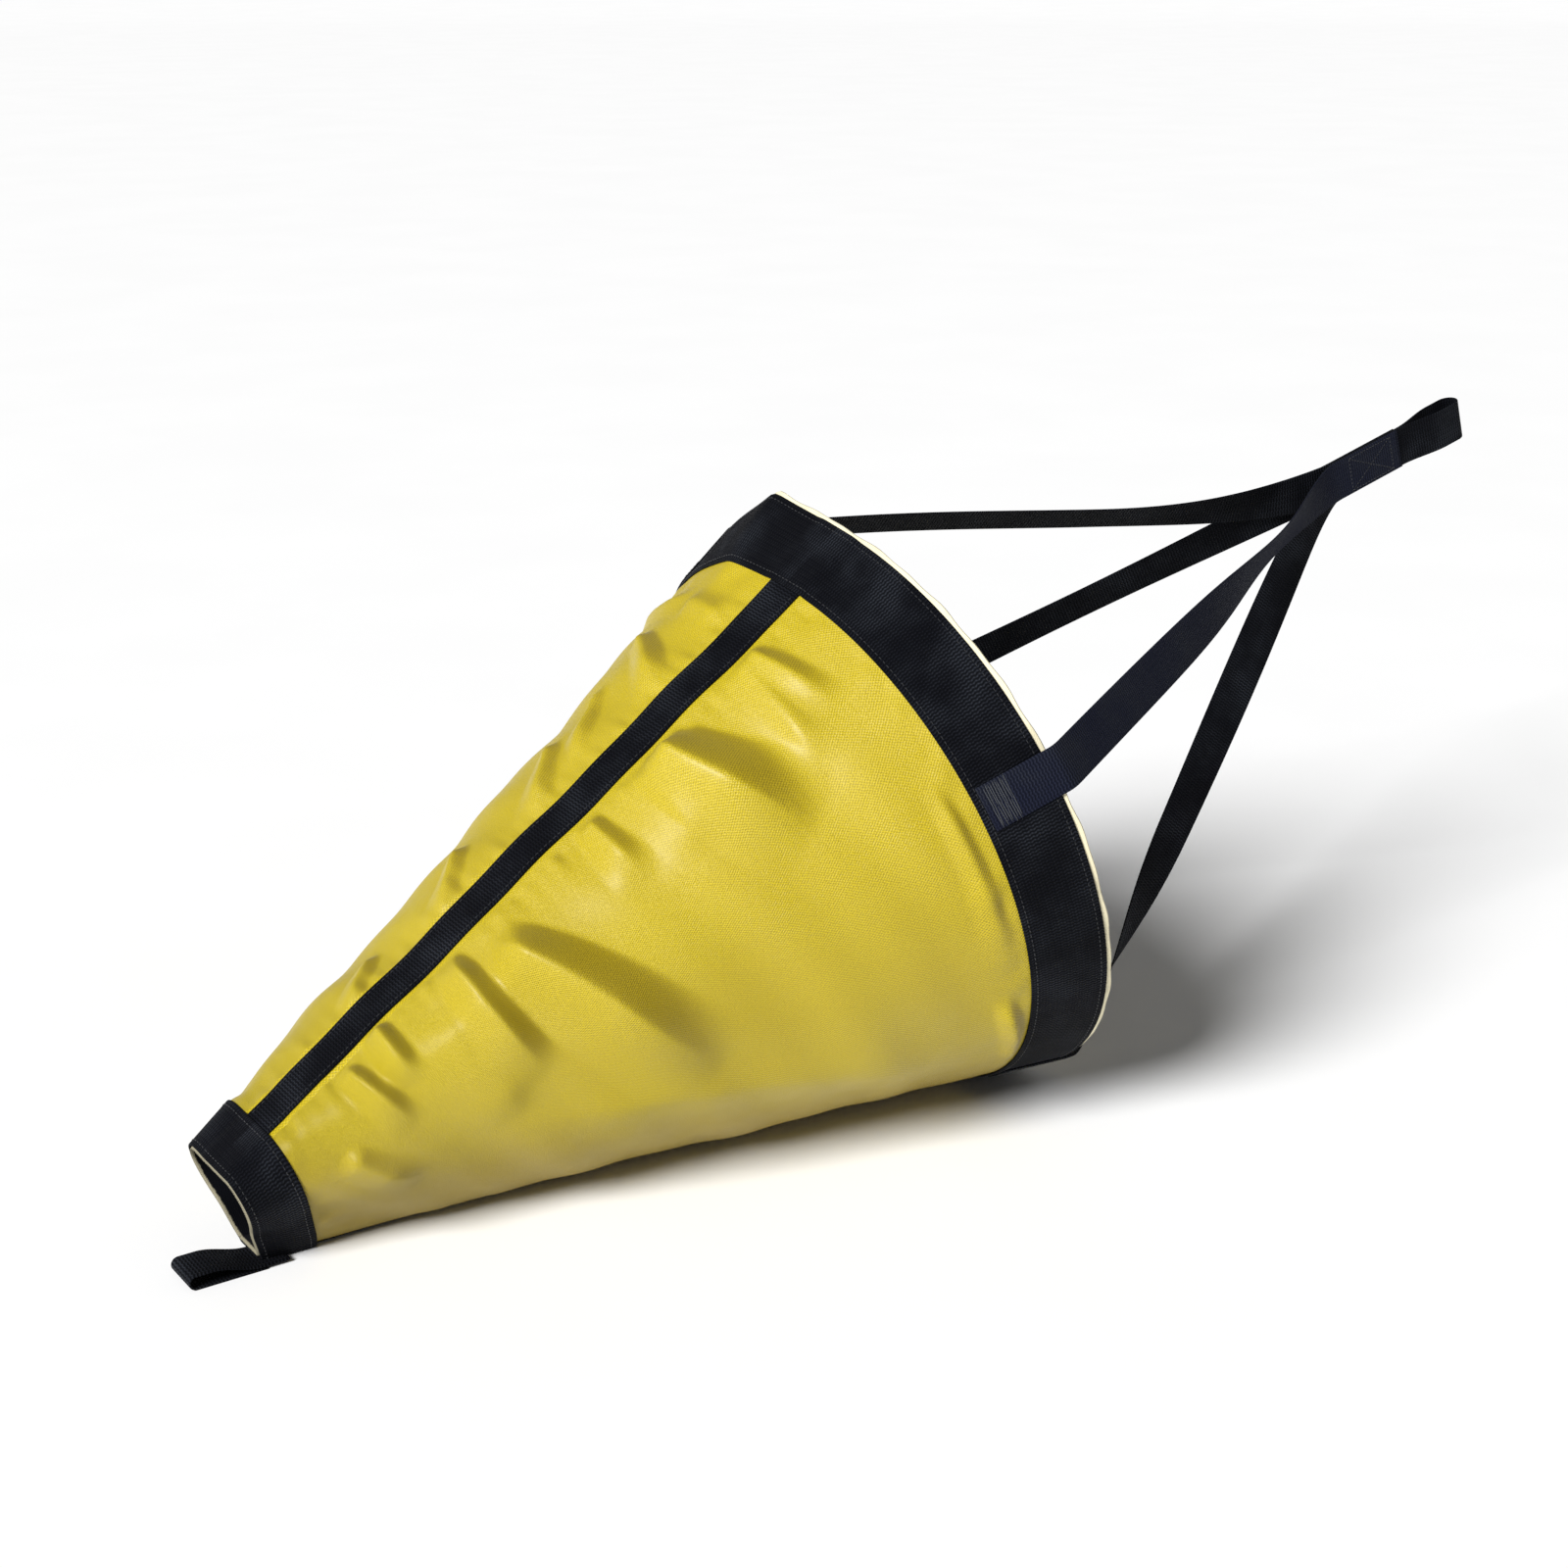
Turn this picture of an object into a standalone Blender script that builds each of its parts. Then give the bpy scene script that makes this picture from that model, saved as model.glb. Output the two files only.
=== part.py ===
"""Drift sock (sea drogue): a truncated cone of coated fabric with webbing bands and ribs,
a four-leg webbing bridle that runs into a tow loop, and a small recovery loop at the tail.

Frame: +X runs from the tail to the tow loop, +Z is up, and the sock lies on its bottom line
on z = 0. The origin is the middle of the bounding box's underside. Metres.

Inside the sock a point is found from a station, the distance behind the mouth measured
along the sock's own axis, and a place around the section. The section is a polygon that is
ruled in straight lines from the mouth to the tail, so every layer is parallel to the next.
"""

import bmesh
import bpy
import numpy as np
from math import atan, radians

# ---- driving dimensions -----------------------------------------------------------------
SOCK_LENGTH = 0.552          # mouth plane to tail plane, along the sock's axis
MOUTH_HALF_WIDTH = 0.2285    # 18 inch mouth
MOUTH_HALF_HEIGHT = 0.2235   # it slumps a little under its own weight
TAIL_RADIUS = 0.0385
TAIL_CORNERS = 0.20          # how far the tail's section is from round, as a rounded triangle
TAIL_CORNER_ANGLE = 60.0     # degrees from the top towards -Y
MOUTH_PEAK = 0.013           # the crease at the top of the mouth stands this far out
MOUTH_PEAK_ANGLE = -9.0      # where around the mouth it is
MOUTH_PEAK_SPREAD = 10.0
MOUTH_PEAK_FADE = 0.055      # how far behind the mouth it has mostly gone

RIB_ANGLE_MOUTH = 9.0        # the top rib's place at the mouth and at the tail
RIB_ANGLE_TAIL = 14.0
TOP_FLAT = 0.018             # half the flat strip that carries the top rib
BOTTOM_FLAT_MOUTH = 0.032    # half the flat that the sock lies on, at each end
BOTTOM_FLAT_TAIL = 0.018
SIDE_FACETS = 20             # facets on each side, between the two flats

WEBBING = 0.032              # width of the ribs, legs and loops
WEBBING_THICK = 0.0012
BAND_THICK = 0.0014
TAIL_BAND = 0.036
FABRIC_THICK = 0.0010
HEM_THICK = 0.0008
HEM_PROUD = 0.0035           # the pale hem shows this far in front of the mouth band
TAIL_HEM_PROUD = 0.0015
GAP = 0.00035                # between neighbouring layers
THREAD_THICK = 0.0006
THREAD_WIDTH = 0.0010
RIB_INSET = 0.003            # a rib ends this far inside the bands' outer edges
SEAM_PLACE = 0.0125          # a rib's rows of thread are this far from its middle
TACK_LENGTH = 0.017          # a leg's bar tack, along the leg and across it
TACK_WIDTH = 0.027
TACK_INSET = 0.004
NECK_TACK_LENGTH = 0.046
SEAM_GAP = 0.0010            # between the two panels, under each rib

LEG_SEWN = 0.047             # length of leg that is sewn to the mouth band
LEG_ANGLES = {               # where each leg leaves the mouth, from the top towards -Y
    "top_far": -42.0,
    "side_far": -103.0,
    "side_near": 67.0,
    "bottom_near": 151.0,
}
LEG_SAG = {"top_far": 0.012, "side_far": 0.0, "side_near": 0.004, "bottom_near": 0.0}
LEG_LAYER = {"side_near": -1.5, "bottom_near": -0.5, "top_far": 0.5, "side_far": 1.5}
LEG_TURN = {                 # the share of its free span over which a leg turns upright
    "top_far": (0.45, 0.95),
    "side_far": (0.0, 0.88),
    "side_near": (0.0, 0.88),
    "bottom_near": (0.0, 0.28),
}
LEG_ROLL = {                 # degrees it rolls besides, where most and over what spread
    "top_far": (0.0, 0.50, 0.30),
    "side_far": (30.0, 0.40, 0.35),
    "side_near": (36.0, 0.60, 0.20),
    "bottom_near": (-26.0, 0.50, 0.28),
}
LEG_STEPS = 36               # lattice rows along the free span of a leg
RIM_REACH = 0.0050           # a leg clears the hem by this before it turns inwards
RIM_TURN = 0.0045

NECK_REACH = 0.433           # X from the mouth's centre to where the legs meet
NECK_HEIGHT = 0.393
NECK_SLOPE = 15.9            # degrees that the neck and tow loop rise
NECK_LENGTH = 0.071
NECK_CLEAR = 0.0026          # the neck stops this far before the tow loop's hinge
TOW_LOOP_LENGTH = 0.066
TOW_LOOP_HALF_GAP = 0.0085   # half the eye's width, to the middle of the webbing
TAIL_LOOP_LENGTH = 0.049
TAIL_LOOP_HALF_GAP = 0.0045
TAIL_LOOP_OFFSET = -0.012    # it hangs a little to the -Y side
TAIL_LOOP_CLEAR = 0.0034     # hinge to the tail rim
EYE_ROOT_GAP = 0.0006        # between an eye's two ends
LOOP_STEPS = 28
TIP_FACETS = 9

# ---- layers, as the height of each one's middle above the fabric's middle ---------------
RIB_LAYER = FABRIC_THICK / 2 + GAP + WEBBING_THICK / 2
BAND_LAYER = RIB_LAYER + WEBBING_THICK / 2 + GAP + BAND_THICK / 2
LEG_LAYER_HEIGHT = BAND_LAYER + BAND_THICK / 2 + GAP + WEBBING_THICK / 2
HEM_LAYER = -(FABRIC_THICK / 2 + GAP + HEM_THICK / 2)
RIB_THREAD_LAYER = RIB_LAYER + WEBBING_THICK / 2 + GAP + THREAD_THICK / 2


# ---- materials --------------------------------------------------------------------------
def material(name, colour, roughness):
    mat = bpy.data.materials.new(name)
    mat.use_nodes = True
    shader = mat.node_tree.nodes["Principled BSDF"]
    shader.inputs["Base Color"].default_value = (*colour, 1.0)
    shader.inputs["Roughness"].default_value = roughness
    shader.inputs["Metallic"].default_value = 0.0
    mat.diffuse_color = (*colour, 1.0)
    return mat


# ---- the sock's section -----------------------------------------------------------------
def arc(radius_at, start, end, count):
    """Points from one angle to another, as (towards -Y, up) in the section's plane."""
    angles = np.radians(np.linspace(start, end, count))
    radii = radius_at(angles)
    return np.stack([radii * np.sin(angles), radii * np.cos(angles)], axis=1)


def mouth_radius(angle):
    """An ellipse."""
    across = np.sin(angle) / MOUTH_HALF_WIDTH
    upward = np.cos(angle) / MOUTH_HALF_HEIGHT
    return 1 / np.hypot(across, upward)


def tail_radius(angle):
    """A circle pushed out at three corners."""
    return TAIL_RADIUS * (1 + TAIL_CORNERS * np.cos(3 * (angle - radians(TAIL_CORNER_ANGLE))))


def section(radius_at, rib_angle, bottom_flat):
    """The closed outline: top flat's middle, near side, bottom flat's middle, far side."""
    top_half = np.degrees(TOP_FLAT / radius_at(radians(rib_angle)))
    bottom_half = np.degrees(bottom_flat / radius_at(radians(180.0)))
    near = arc(radius_at, rib_angle + top_half, 180 - bottom_half, SIDE_FACETS + 1)
    far = arc(radius_at, bottom_half - 180, rib_angle - top_half, SIDE_FACETS + 1)
    far[0, 1] = near[-1, 1]
    top_middle = (near[:1] + far[-1:]) / 2
    bottom_middle = (near[-1:] + far[:1]) / 2
    return np.concatenate([top_middle, near, bottom_middle, far])


MOUTH_SECTION = section(mouth_radius, RIB_ANGLE_MOUTH, BOTTOM_FLAT_MOUTH)
TAIL_SECTION = section(tail_radius, RIB_ANGLE_TAIL, BOTTOM_FLAT_TAIL)
BOTTOM = SIDE_FACETS + 2                       # index of the bottom flat's middle
PITCH = atan((TAIL_SECTION[BOTTOM, 1] - MOUTH_SECTION[BOTTOM, 1]) / SOCK_LENGTH)
AXIS = np.array([np.cos(PITCH), 0, np.sin(PITCH)])
UP = np.array([-np.sin(PITCH), 0, np.cos(PITCH)])
NEAR = np.array([0, -1.0, 0])
LOWEST = BAND_LAYER + BAND_THICK / 2           # the bands' outer faces rest on z = 0
MOUTH_HEIGHT = (LOWEST - MOUTH_SECTION[BOTTOM, 1]) * np.cos(PITCH)


def outline(station, layer):
    """The section at a station, moved outwards by layer, each facet parallel to itself."""
    share = station / SOCK_LENGTH
    points = (1 - share) * MOUTH_SECTION + share * TAIL_SECTION
    angles = np.degrees(np.arctan2(MOUTH_SECTION[:, 0], MOUTH_SECTION[:, 1]))
    peak = MOUTH_PEAK * np.exp(-(((angles - MOUTH_PEAK_ANGLE) / MOUTH_PEAK_SPREAD) ** 2))
    peak = peak * np.exp(-((max(station, 0) / MOUTH_PEAK_FADE) ** 2))
    points = points * (1 + peak / np.linalg.norm(points, axis=1))[:, None]
    # the top flat stays flat: its middle is always halfway between its two edges
    points[0] = (points[1] + points[-1]) / 2
    edge = np.roll(points, -1, axis=0) - points
    normal = np.stack([-edge[:, 1], edge[:, 0]], axis=1)
    normal /= np.linalg.norm(edge, axis=1)[:, None]
    before = np.roll(normal, 1, axis=0)
    mitre = (before + normal) / (1 + (before * normal).sum(axis=1))[:, None]
    return points + mitre * layer


def place(station, flat):
    """A section point (towards -Y, up) at a station, in the part's frame."""
    return MOUTH_CENTRE - station * AXIS + flat[..., :1] * NEAR + flat[..., 1:] * UP


def ring(stations, layer):
    """A lattice right round the sock, closed on itself."""
    rows = [place(s, outline(s, layer)) for s in stations]
    return np.stack([np.concatenate([row, row[:1]]) for row in rows])


def strip_on(stations, layer, middle, across):
    """A lattice along one of the two flats; across lists the places over its width."""
    rows = []
    for station in stations:
        flat = outline(station, layer)
        direction = flat[(middle + 1) % len(flat)] - flat[middle - 1]
        direction /= np.linalg.norm(direction)
        rows.append(place(station, flat[middle] + np.outer(across, direction)))
    return np.stack(rows)


def side(stations, layer, first, last):
    """A lattice over part of the outline, with a narrow seam gap at its two ends."""
    rows = []
    for station in stations:
        flat = outline(station, layer)
        part = np.take(flat, range(first, last + 1), axis=0, mode="wrap").copy()
        for end, inner in ((0, 1), (-1, -2)):
            inwards = part[inner] - part[end]
            part[end] += inwards / np.linalg.norm(inwards) * SEAM_GAP / 2
        rows.append(place(station, part))
    return np.stack(rows)


# ---- where things stand along X -----------------------------------------------------------
NECK_DIRECTION = np.array([np.cos(radians(NECK_SLOPE)), 0, np.sin(radians(NECK_SLOPE))])
NECK_WIDTH = np.array([-np.sin(radians(NECK_SLOPE)), 0, np.cos(radians(NECK_SLOPE))])
NECK_FACE = np.array([0, 1.0, 0])              # the way that the layers are stacked
LEG_PITCH = WEBBING_THICK + GAP
TOW_TIP = NECK_REACH + (NECK_LENGTH + TOW_LOOP_LENGTH + WEBBING_THICK / 2) * NECK_DIRECTION[0]
TOW_TIP += WEBBING / 2 * NECK_DIRECTION[2]     # the tip's lower corner is its furthest point
TAIL_EDGE = -SOCK_LENGTH * AXIS[0] + outline(SOCK_LENGTH, LOWEST)[BOTTOM, 1] * UP[0]
TAIL_TIP = TAIL_EDGE - TAIL_LOOP_CLEAR - TAIL_LOOP_LENGTH - WEBBING_THICK / 2
MOUTH_X = -(TOW_TIP + TAIL_TIP) / 2            # puts the origin halfway along the part
MOUTH_CENTRE = np.array([MOUTH_X, 0, MOUTH_HEIGHT])
NECK_ENTRY = np.array([MOUTH_X + NECK_REACH, 0, NECK_HEIGHT])
TAIL_EDGE_X = MOUTH_X + TAIL_EDGE


# ---- mesh helpers -----------------------------------------------------------------------
def sheet(name, points, thickness, mat, closed=False, pivot=(0, 0, 0)):
    """One object: a grid bent through a lattice of points, thickened evenly."""
    mesh = bpy.data.meshes.new(name)
    bm = bmesh.new()
    rows, columns = points.shape[:2]
    bmesh.ops.create_grid(bm, x_segments=columns - 1, y_segments=rows - 1, size=0.5)
    for vert in bm.verts:
        column = round((vert.co.x + 0.5) * (columns - 1))
        row = round((vert.co.y + 0.5) * (rows - 1))
        vert.co = points[row, column] - np.array(pivot)
    if closed:
        bmesh.ops.remove_doubles(bm, verts=bm.verts, dist=0.00001)
    bmesh.ops.recalc_face_normals(bm, faces=bm.faces)
    bm.to_mesh(mesh)
    bm.free()
    obj = bpy.data.objects.new(name, mesh)
    obj.location = pivot
    obj.data.materials.append(mat)
    solid = obj.modifiers.new("Thickness", "SOLIDIFY")
    solid.thickness = thickness
    solid.offset = 0.0
    solid.use_even_offset = True
    PARTS.objects.link(obj)
    return obj


def ribbon(centre, width_axis, width, columns=3):
    """A lattice for a flat strap: a centre line with the direction of its width."""
    across = np.linspace(-width / 2, width / 2, columns)
    return centre[:, None, :] + across[None, :, None] * width_axis[:, None, :]


def unit(vectors):
    return vectors / np.linalg.norm(vectors, axis=-1, keepdims=True)


def smooth(value, start, end):
    """0 up to start, 1 from end on, with no slope at either."""
    t = np.clip((value - start) / (end - start), 0, 1)
    return t * t * (3 - 2 * t)


def bezier(points, count):
    """A Bezier curve of any degree through count places."""
    t = np.linspace(0, 1, count)[:, None, None]
    level = np.repeat(np.array(points, float)[None], count, axis=0)
    while level.shape[1] > 1:
        level = (1 - t) * level[:, :-1] + t * level[:, 1:]
    return level[:, 0]


# ---- the sock ---------------------------------------------------------------------------
RIM_STATIONS = [0.0, 0.014, 0.030, 0.052]
TAIL_STATIONS = [SOCK_LENGTH - TAIL_BAND, SOCK_LENGTH - TAIL_BAND / 2, SOCK_LENGTH]
BODY_STATIONS = [0.080, 0.120, 0.180, 0.250, 0.320, 0.390, 0.455]
SOCK_STATIONS = [*RIM_STATIONS, *BODY_STATIONS, *TAIL_STATIONS]
# the layers share these stations, so that their warped facets stay parallel


def make_panels(fabric):
    near = side(SOCK_STATIONS, 0.0, 0, BOTTOM)
    far = side(SOCK_STATIONS, 0.0, BOTTOM, len(MOUTH_SECTION))
    sheet("panel_near", near, FABRIC_THICK, fabric)
    sheet("panel_far", far, FABRIC_THICK, fabric)


def make_hems(lining):
    mouth = [-HEM_PROUD, *RIM_STATIONS[:3]]
    tail = [*TAIL_STATIONS[1:], SOCK_LENGTH + TAIL_HEM_PROUD]
    sheet("mouth_hem", ring(mouth, HEM_LAYER), HEM_THICK, lining, closed=True)
    sheet("tail_hem", ring(tail, HEM_LAYER), HEM_THICK, lining, closed=True)


def make_bands(webbing):
    mouth = ring(RIM_STATIONS, BAND_LAYER)
    tail = ring(TAIL_STATIONS, BAND_LAYER)
    sheet("mouth_band", mouth, BAND_THICK, webbing, closed=True)
    sheet("tail_band", tail, BAND_THICK, webbing, closed=True)


def make_ribs(webbing, thread):
    """Two ribs over the panels' seams, each with a row of thread near either edge."""
    whole = [RIB_INSET, *SOCK_STATIONS[1:-1], SOCK_LENGTH - RIB_INSET]
    bare = [RIM_STATIONS[-1] + 0.004, *BODY_STATIONS, TAIL_STATIONS[0] - 0.004]
    edges = np.array([-THREAD_WIDTH / 2, THREAD_WIDTH / 2])
    for name, middle, near in (("rib_top", 0, 1), ("rib_bottom", BOTTOM, -1)):
        across = np.array([-WEBBING / 2, 0, WEBBING / 2])
        sheet(name, strip_on(whole, RIB_LAYER, middle, across), WEBBING_THICK, webbing)
        for word, way in (("near", near), ("far", -near)):
            row = strip_on(bare, RIB_THREAD_LAYER, middle, edges + way * SEAM_PLACE)
            sheet(f"{name}_seam_{word}", row, THREAD_THICK, thread)


# ---- the bridle -------------------------------------------------------------------------
def leg_lattice(name):
    """Sewn along the band, round the rim's edge, across the open air and into the neck."""
    angles = np.degrees(np.arctan2(MOUTH_SECTION[:, 0], MOUTH_SECTION[:, 1]))
    column = int(np.abs((angles - LEG_ANGLES[name] + 180) % 360 - 180).argmin())

    def on_band(station):
        return place(station, outline(station, LEG_LAYER_HEIGHT)[column])

    sewn = np.stack([on_band(s) for s in np.linspace(LEG_SEWN, -RIM_REACH + 0.001, 5)])
    edge = on_band(-RIM_REACH)
    forward = unit(edge - sewn[-1])
    around = outline(0.0, LEG_LAYER_HEIGHT)
    tangent = around[(column + 1) % len(around)] - around[column - 1]
    root_width = unit(tangent[0] * NEAR + tangent[1] * UP)
    root_width = unit(root_width - forward * (root_width @ forward))

    start = NECK_ENTRY + NECK_FACE * LEG_PITCH * LEG_LAYER[name]
    corner = edge + forward * RIM_TURN
    away = unit(start - corner)
    turn = bezier([edge, corner, corner + away * RIM_TURN * 2], 5)
    span = bezier(
        [turn[-1], turn[-1] + away * 0.15, start - away * 0.15,
         start - NECK_DIRECTION * 0.035, start],
        LEG_STEPS,
    )
    along = np.linspace(0, 1, LEG_STEPS)
    span[:, 2] -= LEG_SAG[name] * np.sin(np.pi * along) ** 2 * (0.4 + 1.2 * along)
    neck = start + np.outer(
        np.linspace(0.012, NECK_LENGTH - NECK_CLEAR, 4), NECK_DIRECTION
    )
    centre = np.concatenate([sewn, turn, span[1:], neck])

    heading = unit(np.gradient(centre, axis=0))
    progress = np.zeros(len(centre))
    free = slice(len(sewn) + len(turn) - 1, len(sewn) + len(turn) - 1 + LEG_STEPS)
    progress[free] = smooth(along, *LEG_TURN[name])
    progress[free.stop:] = 1
    neck_width = NECK_WIDTH * np.sign(NECK_WIDTH @ root_width)
    width = (1 - progress)[:, None] * root_width + progress[:, None] * neck_width
    width = unit(width - heading * (width * heading).sum(axis=1)[:, None])
    most, middle, spread = LEG_ROLL[name]
    roll = np.zeros(len(centre))
    roll[free] = most * np.exp(-(((along - middle) / spread) ** 2))
    roll[free] *= smooth(along, 0, 0.12) * (1 - smooth(along, 0.86, 1))
    roll = np.radians(roll)[:, None]
    width = width * np.cos(roll) + np.cross(heading, width) * np.sin(roll)
    return ribbon(centre, width, WEBBING)


def make_legs(webbing, thread):
    """Four legs, each with a dense bar tack of thread across it near the band's rear."""
    for name in LEG_ANGLES:
        lattice = leg_lattice(name)
        sheet(f"bridle_leg_{name}", lattice, WEBBING_THICK, webbing)
        outwards = unit(np.cross(lattice[0, 2] - lattice[0, 0], lattice[1, 1] - lattice[0, 1]))
        centre = lattice[0, 1]
        inside = place(LEG_SEWN, np.zeros(2))
        outwards *= np.sign(outwards @ (centre - inside))
        along = unit(lattice[1, 1] - lattice[0, 1])
        width = unit(lattice[0, 2] - lattice[0, 0])
        lift = outwards * (WEBBING_THICK / 2 + GAP + THREAD_THICK / 2)
        ends = np.outer([TACK_INSET, TACK_INSET + TACK_LENGTH], along) + centre + lift
        tack = ribbon(ends, np.stack([width, width]), TACK_WIDTH)
        sheet(f"leg_tack_{name}", tack, THREAD_THICK, thread)


def make_neck_tacks(thread):
    """A block of stitching on each face of the neck, which holds the four legs together."""
    lift = 1.5 * LEG_PITCH + WEBBING_THICK / 2 + GAP + THREAD_THICK / 2
    first = (NECK_LENGTH - NECK_TACK_LENGTH) / 2
    for name, face in (("near", -1), ("far", 1)):
        ends = np.outer([first, first + NECK_TACK_LENGTH], NECK_DIRECTION)
        ends = NECK_ENTRY + NECK_FACE * lift * face + ends
        tack = ribbon(ends, np.stack([NECK_WIDTH] * 2), TACK_WIDTH)
        sheet(f"neck_tack_{name}", tack, THREAD_THICK, thread)


def eye_path(length, half_gap, lean):
    """A flat eye's outline: its place along the loop and to one side of it.

    The two sides part from touching to half_gap on a smooth step, and the tip is a half
    circle whose middle facet is square to the pull. With lean 1 the first side is straight
    and the second takes all of the gap; with 0 the two sides share it."""
    root_half = WEBBING_THICK / 2 + EYE_ROOT_GAP / 2
    straight = length - half_gap
    out = np.linspace(0, 1, LOOP_STEPS // 2)
    ease = np.clip(out / 0.75, 0, 1)
    gap = root_half + (half_gap - root_half) * ease * ease * (3 - 2 * ease)
    turn = np.linspace(0, np.pi, TIP_FACETS + 1)[1:-1]
    along = np.concatenate(
        [straight * out, straight + half_gap * np.sin(turn), straight * out[::-1]]
    )
    across = np.concatenate([-gap, -half_gap * np.cos(turn), gap[::-1]])
    half = np.concatenate([gap, np.full(len(turn), half_gap), gap[::-1]])
    return along, across + lean * (half - root_half)


def make_tow_loop(webbing):
    """The eye that the tow line is tied to. Its hinge is the crease at the neck's end."""
    pivot = NECK_ENTRY + NECK_DIRECTION * NECK_LENGTH
    along, across = eye_path(TOW_LOOP_LENGTH, TOW_LOOP_HALF_GAP, 0.0)
    centre = pivot + np.outer(along, NECK_DIRECTION) + np.outer(across, NECK_FACE)
    width = np.repeat(NECK_WIDTH[None], len(centre), axis=0)
    sheet("tow_loop", ribbon(centre, width, WEBBING), WEBBING_THICK, webbing, pivot=pivot)


def make_tail_loop(webbing):
    """A flattened eye that lies on the ground behind the tail and lifts about its root."""
    height = WEBBING_THICK + EYE_ROOT_GAP / 2
    pivot = np.array([TAIL_EDGE_X - TAIL_LOOP_CLEAR, TAIL_LOOP_OFFSET, height])
    along, across = eye_path(TAIL_LOOP_LENGTH, TAIL_LOOP_HALF_GAP, 1.0)
    centre = pivot + np.outer(along, [-1.0, 0, 0]) + np.outer(across, [0, 0, 1.0])
    width = np.repeat(NEAR[None], len(centre), axis=0)
    sheet("tail_loop", ribbon(centre, width, WEBBING), WEBBING_THICK, webbing, pivot=pivot)


def main():
    for obj in list(bpy.data.objects):
        bpy.data.objects.remove(obj, do_unlink=True)
    fabric = material("yellow_coated_fabric", (0.69, 0.53, 0.035), 0.42)
    lining = material("pale_hem", (0.80, 0.73, 0.46), 0.55)
    webbing = material("black_webbing", (0.006, 0.007, 0.012), 0.75)
    thread = material("dark_thread", (0.02, 0.022, 0.028), 0.6)
    make_panels(fabric)
    make_hems(lining)
    make_bands(webbing)
    make_ribs(webbing, thread)
    make_legs(webbing, thread)
    make_neck_tacks(thread)
    make_tow_loop(webbing)
    make_tail_loop(webbing)


PARTS = bpy.data.collections.new("drift_sock")
bpy.context.scene.collection.children.link(PARTS)
main()
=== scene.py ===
"""Looks for the drift sock: crumpled coated fabric, woven webbing, stitching and a plain stage.

The sock's surface is found from a station, the distance behind the mouth plane along the
sock's axis, and a column around the section, which starts in the middle of the top flat and
goes down the -Y side. Every layer is built on that surface. Metres; the part's own frame.
"""

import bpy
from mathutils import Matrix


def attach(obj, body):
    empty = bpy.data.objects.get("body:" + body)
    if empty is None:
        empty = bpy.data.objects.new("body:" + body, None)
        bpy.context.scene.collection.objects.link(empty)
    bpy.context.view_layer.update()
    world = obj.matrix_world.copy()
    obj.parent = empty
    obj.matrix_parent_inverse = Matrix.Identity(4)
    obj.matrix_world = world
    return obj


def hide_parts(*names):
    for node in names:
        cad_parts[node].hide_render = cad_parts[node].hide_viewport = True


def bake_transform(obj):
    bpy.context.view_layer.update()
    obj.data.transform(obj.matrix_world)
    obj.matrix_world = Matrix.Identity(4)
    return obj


bl_info = {
    "name": "Drift sock looks",
    "version": (1, 0, 0),
    "blender": (4, 5, 0),
    "location": "3D View > Sidebar > Drift Sock",
    "description": "Builds the visible pieces of a drift sock over its packed CAD frame",
    "category": "Object",
}

from math import atan, pi, radians

import bpy
import numpy as np
from bpy.props import FloatProperty, FloatVectorProperty, IntProperty, PointerProperty
from mathutils import Matrix, Vector

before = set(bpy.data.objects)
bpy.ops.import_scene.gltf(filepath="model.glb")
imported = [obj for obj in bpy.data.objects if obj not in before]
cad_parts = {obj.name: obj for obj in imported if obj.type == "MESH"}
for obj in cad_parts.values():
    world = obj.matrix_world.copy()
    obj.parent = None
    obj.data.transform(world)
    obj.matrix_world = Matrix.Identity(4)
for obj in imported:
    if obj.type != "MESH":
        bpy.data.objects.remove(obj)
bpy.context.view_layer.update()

# ---- the CAD part's dimensions ---------------------------------------------------------------
SOCK_LENGTH = 0.552
MOUTH_HALF_WIDTH = 0.2285
MOUTH_HALF_HEIGHT = 0.2235
MOUTH_RADIUS = 0.226
TAIL_RADIUS = 0.0385
TAIL_CORNERS = 0.20
TAIL_CORNER_ANGLE = 60.0
MOUTH_PEAK = 0.013
MOUTH_PEAK_ANGLE = -9.0
MOUTH_PEAK_SPREAD = 10.0
MOUTH_PEAK_FADE = 0.055
RIB_ANGLE_MOUTH = 9.0
RIB_ANGLE_TAIL = 14.0
TOP_FLAT = 0.018
BOTTOM_FLAT_MOUTH = 0.032
BOTTOM_FLAT_TAIL = 0.018
SIDE_FACETS = 20
WEBBING = 0.032
WEBBING_THICK = 0.0012
BAND_THICK = 0.0014
MOUTH_BAND = 0.052
TAIL_BAND = 0.036
FABRIC_THICK = 0.0010
GAP = 0.00035
SEAM_PLACE = 0.0125
TACK_LENGTH = 0.017
TACK_WIDTH = 0.027
TACK_INSET = 0.004
NECK_TACK_LENGTH = 0.046
LEG_SEWN = 0.047
LEG_ANGLES = {"top_far": -42.0, "side_far": -103.0, "side_near": 67.0, "bottom_near": 151.0}
LEG_SAG = {"top_far": 0.012, "side_far": 0.0, "side_near": 0.004, "bottom_near": 0.0}
LEG_LAYER = {"side_near": -1.5, "bottom_near": -0.5, "top_far": 0.5, "side_far": 1.5}
LEG_TURN = {
    "top_far": (0.45, 0.95),
    "side_far": (0.0, 0.88),
    "side_near": (0.0, 0.88),
    "bottom_near": (0.0, 0.28),
}
LEG_ROLL = {
    "top_far": (0.0, 0.50, 0.30),
    "side_far": (30.0, 0.40, 0.35),
    "side_near": (36.0, 0.60, 0.20),
    "bottom_near": (-26.0, 0.50, 0.28),
}
RIM_REACH = 0.0050
RIM_TURN = 0.0045
NECK_REACH = 0.433
NECK_HEIGHT = 0.393
NECK_SLOPE = 15.9
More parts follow.
